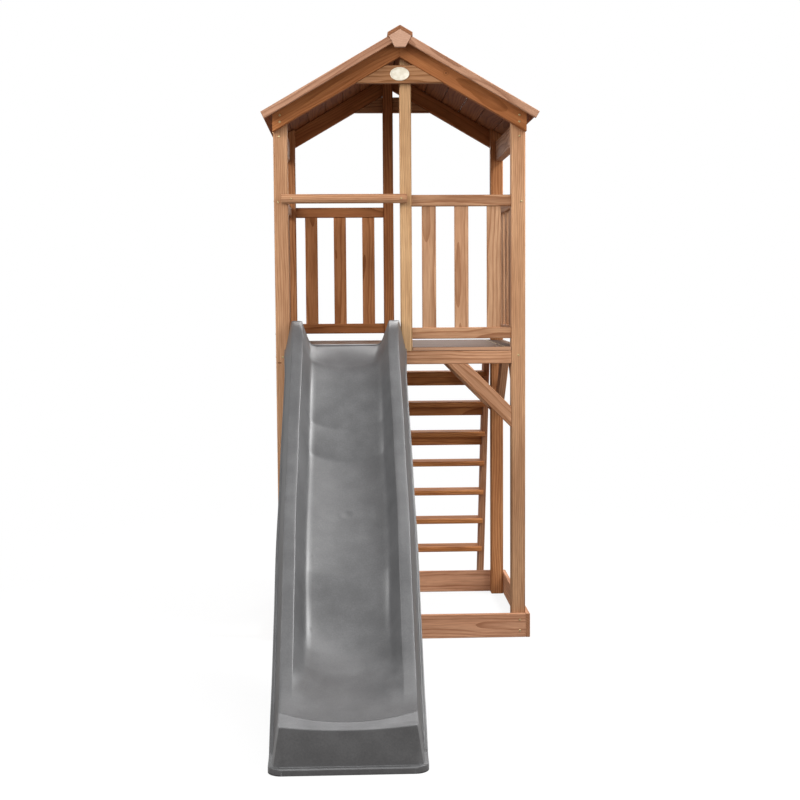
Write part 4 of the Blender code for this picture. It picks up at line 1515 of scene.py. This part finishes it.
    def shell(self, outer: np.ndarray, inner: np.ndarray, painted_light_banded: np.ndarray,
              finish: bpy.types.Material) -> None:
        """Close the two surfaces to a shell, with the textured band of painted light on its foot.

        Args:
            outer: Upper surface.
            inner: Lower surface, of which only some columns are kept.
            painted_light_banded: Where the upper surface has the textured skin, paler with painted
                light.
            finish: Material of the rest.
        """
        kept = np.linspace(outer.shape[1] - 1, 0, self.inner_columns).round().astype(int)
        rows = np.concatenate((outer, inner[:, kept]), axis=1)
        faces = [corners[::-1] for corners in bar_faces(*rows.shape[:2])]
        smooth = np.arange(len(faces)) < len(faces) - 2
        piece = put_piece("slide", rows.reshape(-1, 3), faces, smooth, finish, Slot.PLASTIC,
                          "slide")
        piece.data.materials.append(PAINTED_LIGHT_FOOT_BAND.material())
        skins = np.zeros((rows.shape[0] - 1, rows.shape[1]), dtype=np.int32)
        skins[:, :outer.shape[1]] = painted_light_banded
        piece.data.polygons.foreach_set("material_index", np.append(skins, [0, 0]))

    def ribs(self, runs: np.ndarray, inner: np.ndarray, skirt: np.ndarray, face: float,
             finish: bpy.types.Material) -> None:
        """Upright cross ribs in the hollow, evenly spaced, from the wall down to the skirt.

        The top of a rib is where every column of the lower surface meets the rib's plane. It is
        sunk a little into the wall.

        Args:
            runs: Stations.
            inner: Lower surface of the shell.
            skirt: Height of the lower edge at every station.
            face: Place of the post fronts.
            finish: Material of the slide.
        """
        columns = np.arange(inner.shape[1])
        step = np.array([0.0, self.rib_thickness / 2, 0.0])
        for number in range(1, self.rib_count + 1):
            run = self.bed_end * number / (self.rib_count + 1)
            after = (inner[:, :, 1] < face - run).argmax(axis=0)
            near, far = inner[after - 1, columns], inner[after, columns]
            part = (face - run - near[:, 1:2]) / (far[:, 1:2] - near[:, 1:2])
            top = near + (far - near) * part
            top[:, 0] = np.maximum.accumulate(top[:, 0])
            foot = np.interp(run, runs, skirt) + self.rib_recess
            top = top[top[:, 2] > foot + MM]
            low = np.column_stack((top[:, :2], np.full(len(top), foot)))
            top = top + (0.0, 0.0, MM)
            rings = np.stack((low - step, low + step, top + step, top - step), axis=1)
            faces = bar_faces(*rings.shape[:2])
            put_piece(f"slide_rib_{number}", rings.reshape(-1, 3), faces,
                      np.zeros(len(faces), dtype=bool), finish, Slot.PLASTIC, "slide")

    def lip(self, middle: float, face: float, deck: float, finish: bpy.types.Material) -> None:
        """Plate over the deck: its corners follow a quarter circle, and its end is rounded off.

        Args:
            middle: Place of the slide's middle across the tower.
            face: Place of the post fronts.
            deck: Height of the deck.
            finish: Material of the slide.
        """
        sides = self.bead_width + self.flare + self.flange + self.cheek
        half = self.widths[0][1] / 2 - sides
        thick = self.lip_thickness - CLEAR
        nose = self.lip_nose * thick
        turns = np.linspace(0.0, math.pi / 2, 9)
        ends = self.lip_run - nose - self.lip_corner * (1.0 - np.sin(turns))
        places = [-self.lip_tail, *ends]
        halves = [half, *(half - self.lip_corner * (1.0 - np.cos(turns)))]
        insets = [0.0] * len(places)
        round_off = turns[2::2]
        places += list(self.lip_run - nose * (1.0 - np.sin(round_off)))
        halves += [halves[-1]] * len(round_off)
        # A little short of the full turn, so that the last ring doesn't close to a line
        insets += list(0.98 * nose * (1.0 - np.cos(round_off)))
        rings: list[np.ndarray] = []
        for place, reach, inset in zip(places, halves, insets):
            section = rounded_section(2 * reach, thick, nose, inset)
            rings.append(np.column_stack((
                middle - section[:, 0], np.full(len(section), face + place),
                deck + CLEAR + thick / 2 + section[:, 1])))
        points = np.stack(rings)
        faces = bar_faces(*points.shape[:2])
        put_piece("slide_lip", points.reshape(-1, 3), faces, np.ones(len(faces), dtype=bool),
                  finish, Slot.PLASTIC, "slide")


@dataclass
class ScrewHeads:
    """Pan-head screws with a round recess, each a small profile turned about its axis.

    Each point of the profile has a share of the radius and a share of the height.
    """

    name: str
    spots: list[Place]
    facing: Place
    radius: float = 4.5 * MM
    height: float = 2.2 * MM
    segments: int = 12
    profile: Course = ((1.0, -0.1), (0.97, 0.45), (0.8, 0.85), (0.5, 1.0), (0.34, 1.0),
                       (0.30, 0.55), (0.05, 0.5))

    def build(self, finish: bpy.types.Material) -> None:
        """Put one head on every spot, all in one piece.

        Args:
            finish: Material of the screws.
        """
        sizes, rises = np.array(self.profile).T * np.array([[self.radius], [self.height]])
        axis = np.array(self.facing)
        # Any direction that no screw points in gives a side
        side = np.cross(axis, (0.36, 0.48, 0.8))
        side /= np.linalg.norm(side)
        upright = np.cross(axis, side)
        turns = round_turns(self.segments)[:, None]
        circle = np.cos(turns) * side + np.sin(turns) * upright
        head = sizes[:, None, None] * circle + rises[:, None, None] * axis
        points = np.array(self.spots)[:, None, None, :] + head
        faces = band_faces(len(sizes), self.segments, closed=True)
        per_head = len(sizes) * self.segments
        lids = np.arange(per_head - self.segments, per_head)
        starts = np.arange(len(self.spots)) * per_head
        sides = (faces + starts[:, None, None]).reshape(-1, 4).tolist()
        tops = (lids + starts[:, None]).tolist()
        smooth = np.ones(len(sides) + len(tops), dtype=bool)
        put_piece(self.name, points.reshape(-1, 3), sides + tops, smooth, finish, Slot.PINE)


@dataclass
class Fixings:
    """Every visible screw, placed on the timber it holds.

    A screw of an end has its place to the side of the middle and its height. Heights at the
    rafters and the posts are measured from the deck, and those at the base boards from the ground.
    The screws of the round bar have their distances from its two ends, and those of a deck board
    theirs from the middle and from its edges.
    """

    rafter_spots: Course = ((0.471, 0.914), (0.471, 0.888))
    post_spots: Course = ((0.476, 0.836), (0.483, 0.579), (0.472, -0.035))
    board_spots: Course = ((0.476, 0.072), (0.476, 0.028))
    side_heights: tuple[float, ...] = (0.852, 0.584, 0.056, -0.035)
    board_heights: tuple[float, ...] = (0.072, 0.028)
    post_middle: float = 28 * MM
    bar_ends: tuple[float, float] = (40 * MM, 24 * MM)
    deck_side: float = 0.418
    deck_edge: float = 28 * MM
    small_radius: float = 4 * MM
    flush_height: float = 0.8 * MM

    def build(self) -> None:
        """Screws at both ends, in the round bar, in the deck and at both sides."""
        finish = YellowZinc().material()
        deck = box_of("deck_board_1")[1][2]
        self.end_screws("front", -1.0, deck, finish)
        self.end_screws("back", 1.0, deck, finish)
        self.bar_screws(finish)
        self.deck_screws(finish)
        self.side_screws("left", -1.0, deck, finish)
        self.side_screws("right", 1.0, deck, finish)

    def end_screws(self, end: str, facing: float, deck: float, finish: bpy.types.Material
                   ) -> None:
        """Screws in the rafters, posts and base board of one end of the tower.

        Args:
            end: Word for the end.
            facing: One for the back and minus one for the front.
            deck: Height of the deck.
            finish: Material of the screws.
        """
        corner = 1 if facing > 0.0 else 0
        rafter, post, board = (box_of(node)[corner][1] for node in (
            f"{end}_left_rafter", f"{end}_left_post", f"{end}_base_board"))
        spots: list[Place] = []
        for side in (-1.0, 1.0):
            spots += [(side * across, rafter, deck + above) for across, above in self.rafter_spots]
            spots += [(side * across, post, deck + above) for across, above in self.post_spots]
            spots += [(side * across, board, height) for across, height in self.board_spots]
        ScrewHeads(f"{end}_screws", spots, (0.0, facing, 0.0)).build(finish)

    def side_screws(self, word: str, side: float, deck: float, finish: bpy.types.Material
                    ) -> None:
        """Screws in the posts and the base board of one side of the tower.

        Args:
            word: Word for the side.
            side: One for the right and minus one for the left.
            deck: Height of the deck.
            finish: Material of the screws.
        """
        post = box_of("front_right_post")[1][0] * side
        board = box_of("right_base_board")[1][0] * side
        front = box_of("front_left_post")[0][1] + self.post_middle
        back = box_of("back_left_post")[1][1] - self.post_middle
        spots: list[Place] = []
        for y in (front, back):
            spots += [(post, y, deck + above) for above in self.side_heights]
            spots += [(board, y, height) for height in self.board_heights]
        ScrewHeads(f"{word}_screws", spots, (side, 0.0, 0.0)).build(finish)

    def bar_screws(self, finish: bpy.types.Material) -> None:
        """Two screws through the round bar, at the post and beside the middle.

        Args:
            finish: Material of the screws.
        """
        low, high = box_of("handrail_bar")
        level = (low[2] + high[2]) / 2
        spots = [(low[0] + self.bar_ends[0], low[1], level),
                 (high[0] - self.bar_ends[1], low[1], level)]
        ScrewHeads("bar_screws", spots, (0.0, -1.0, 0.0), self.small_radius).build(finish)

    def deck_screws(self, finish: bpy.types.Material) -> None:
        """Two screws at each end of every deck board, sunk almost flush.

        Args:
            finish: Material of the screws.
        """
        spots: list[Place] = []
        for number in range(1, DECK_BOARDS + 1):
            low, high = box_of(f"deck_board_{number}")
            for y in (low[1] + self.deck_edge, high[1] - self.deck_edge):
                spots += [(side * self.deck_side, y, high[2]) for side in (-1.0, 1.0)]
        ScrewHeads("deck_screws", spots, (0.0, 0.0, 1.0), self.small_radius,
                   self.flush_height).build(finish)


@dataclass(frozen=True)
class Lamp:
    """Soft oblong lamp turned to the middle of the tower; its power is in watts."""

    name: str
    place: Place
    size: tuple[float, float]
    power: float
    aim: Place = (0.0, 0.0, 1.1)

    def build(self) -> None:
        """Hang the lamp; the first of its sizes is its level side."""
        light = bpy.data.lights.new(self.name, "AREA")
        light.shape = "RECTANGLE"
        light.size, light.size_y = self.size
        light.energy = self.power
        lamp = bpy.data.objects.new(self.name, light)
        bpy.context.scene.collection.objects.link(lamp)
        lamp.location = self.place
        lamp.rotation_euler = (Vector(self.aim) - Vector(self.place)).to_track_quat(
            "-Z", "Y").to_euler()


@dataclass
class Studio:
    """Pale floor, white surroundings, soft lamps and the camera of the picture.

    The camera's place is measured from the fronts of the posts, and its angles are in radians.
    """

    lamps: tuple[Lamp, ...] = (
        Lamp("key_lamp", (-0.8, -4.0, 3.4), (2.0, 2.0), 55.0),
        Lamp("left_lamp", (-3.2, -1.8, 3.0), (1.5, 1.5), 95.0),
        Lamp("right_lamp", (2.8, -3.6, 2.2), (1.5, 1.5), 45.0),
        Lamp("side_lamp", (3.0, -0.3, 4.6), (1.6, 1.2), 200.0),
        Lamp("top_lamp", (0.4, 0.5, 5.2), (3.2, 1.0), 45.0),
        Lamp("back_lamp", (0.5, 4.5, 3.6), (3.0, 3.0), 130.0))
    even_light: float = 0.45
    floor_reach: float = 4.5
    floor_glow: float = 0.86
    rim_start: float = 1.5
    rim_end: float = 3.6
    focal_pixels: float = 1350.0
    picture_pixels: float = 800.0
    sensor: float = 36.0
    camera: Place = (-0.2096, -5.4018, 1.4045)
    yaw: float = 0.0377
    pitch: float = 0.0797
    roll: float = -0.0068

    def build(self) -> None:
        """Make floor, world, lamps and camera."""
        self.floor()
        self.world()
        for lamp in self.lamps:
            lamp.build()
        self.view()
        bpy.context.scene.view_settings.view_transform = "Standard"

    def seen(self, tree: bpy.types.NodeTree) -> bpy.types.NodeSocket:
        """One for what the camera sees itself, and nought for the light on the object."""
        return add_node(tree, "ShaderNodeLightPath").outputs["Is Camera Ray"]

    def floor(self) -> None:
        """Lay a square sheet of matt white paper under the tower."""
        corners = np.array([[-1, -1, 0], [1, -1, 0], [1, 1, 0], [-1, 1, 0]]) * self.floor_reach
        mesh = bpy.data.meshes.new("floor")
        mesh.from_pydata(corners.tolist(), [], [[0, 1, 2, 3]])
        mesh.materials.append(self.paper())
        sheet = bpy.data.objects.new("floor", mesh)
        bpy.context.scene.collection.objects.link(sheet)

    def paper(self) -> bpy.types.Material:
        """White with a soft shadow where it is seen, and grey where it would light the roof.

        The seen paper clears towards its rim, so that no horizon shows.

        Returns:
            The material.
        """
        made = blank_material("matt_white_paper")
        tree = made.node_tree
        tree.nodes.clear()
        lit = add_node(tree, "ShaderNodeBsdfDiffuse", {"Color": linear("#F4F4F4")}).outputs[0]
        glow = add_node(tree, "ShaderNodeEmission", {"Strength": 1.0}).outputs[0]
        paper = add_node(tree, "ShaderNodeMixShader", {
            0: self.floor_glow, 1: lit, 2: glow}).outputs[0]
        clear = add_node(tree, "ShaderNodeBsdfTransparent").outputs[0]
        here = add_node(tree, "ShaderNodeTexCoord").outputs["Object"]
        away = add_node(tree, "ShaderNodeVectorMath", {0: here}, operation="LENGTH")
        rim = add_node(tree, "ShaderNodeMapRange", {
            "Value": away.outputs["Value"], "From Min": self.rim_start,
            "From Max": self.rim_end}, interpolation_type="SMOOTHSTEP").outputs[0]
        paper = add_node(tree, "ShaderNodeMixShader", {0: rim, 1: paper, 2: clear}).outputs[0]
        dim = add_node(tree, "ShaderNodeBsdfDiffuse", {"Color": linear("#8C8885")}).outputs[0]
        both = add_node(tree, "ShaderNodeMixShader", {
            0: self.seen(tree), 1: dim, 2: paper}).outputs[0]
        add_node(tree, "ShaderNodeOutputMaterial", {"Surface": both})
        return made

    def world(self) -> None:
        """White where it is seen, and a weaker even light on the object."""
        world = bpy.data.worlds.new("white_studio")
        world.use_nodes = True
        tree = world.node_tree
        tree.nodes.clear()
        light = add_node(tree, "ShaderNodeBackground", {"Strength": self.even_light}).outputs[0]
        white = add_node(tree, "ShaderNodeBackground", {"Strength": 1.0}).outputs[0]
        for background in tree.nodes:
            background.inputs["Color"].default_value = linear("#FFFFFF")
        both = add_node(tree, "ShaderNodeMixShader", {
            0: self.seen(tree), 1: light, 2: white}).outputs[0]
        add_node(tree, "ShaderNodeOutputWorld", {"Surface": both})
        bpy.context.scene.world = world

    def view(self) -> None:
        """Set the camera at the picture's viewpoint, turned by yaw, pitch and roll in this order."""
        sin, cos = math.sin, math.cos
        forward = np.array([sin(self.yaw) * cos(self.pitch), cos(self.yaw) * cos(self.pitch),
                            -sin(self.pitch)])
        right = np.array([cos(self.yaw), -sin(self.yaw), 0.0])
        above = np.cross(right, forward)
        level, upright = (cos(self.roll) * right + sin(self.roll) * above,
                          cos(self.roll) * above - sin(self.roll) * right)
        data = bpy.data.cameras.new("picture_camera")
        data.sensor_width = self.sensor
        data.lens = self.focal_pixels / self.picture_pixels * data.sensor_width
        camera = bpy.data.objects.new("picture_camera", data)
        bpy.context.scene.collection.objects.link(camera)
        place = np.array(self.camera) + np.array([0.0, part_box("front_left_post")[0][1], 0.0])
        axes = np.column_stack((level, upright, -forward))
        camera.matrix_world = Matrix.Translation(place) @ Matrix(axes).to_4x4()
        bpy.context.scene.camera = camera


def main() -> None:
    """Load the frame, draw the pieces in order and light them."""
    logging.basicConfig(level=logging.INFO, format="%(message)s")
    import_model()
    TowerFrame().build()
    Railings().build()
    Roof().build()
    Ladder().build()
    OvalPlate().build()
    Slide().build()
    Fixings().build()
    Studio().build()


if __name__ == "__main__":
    main()
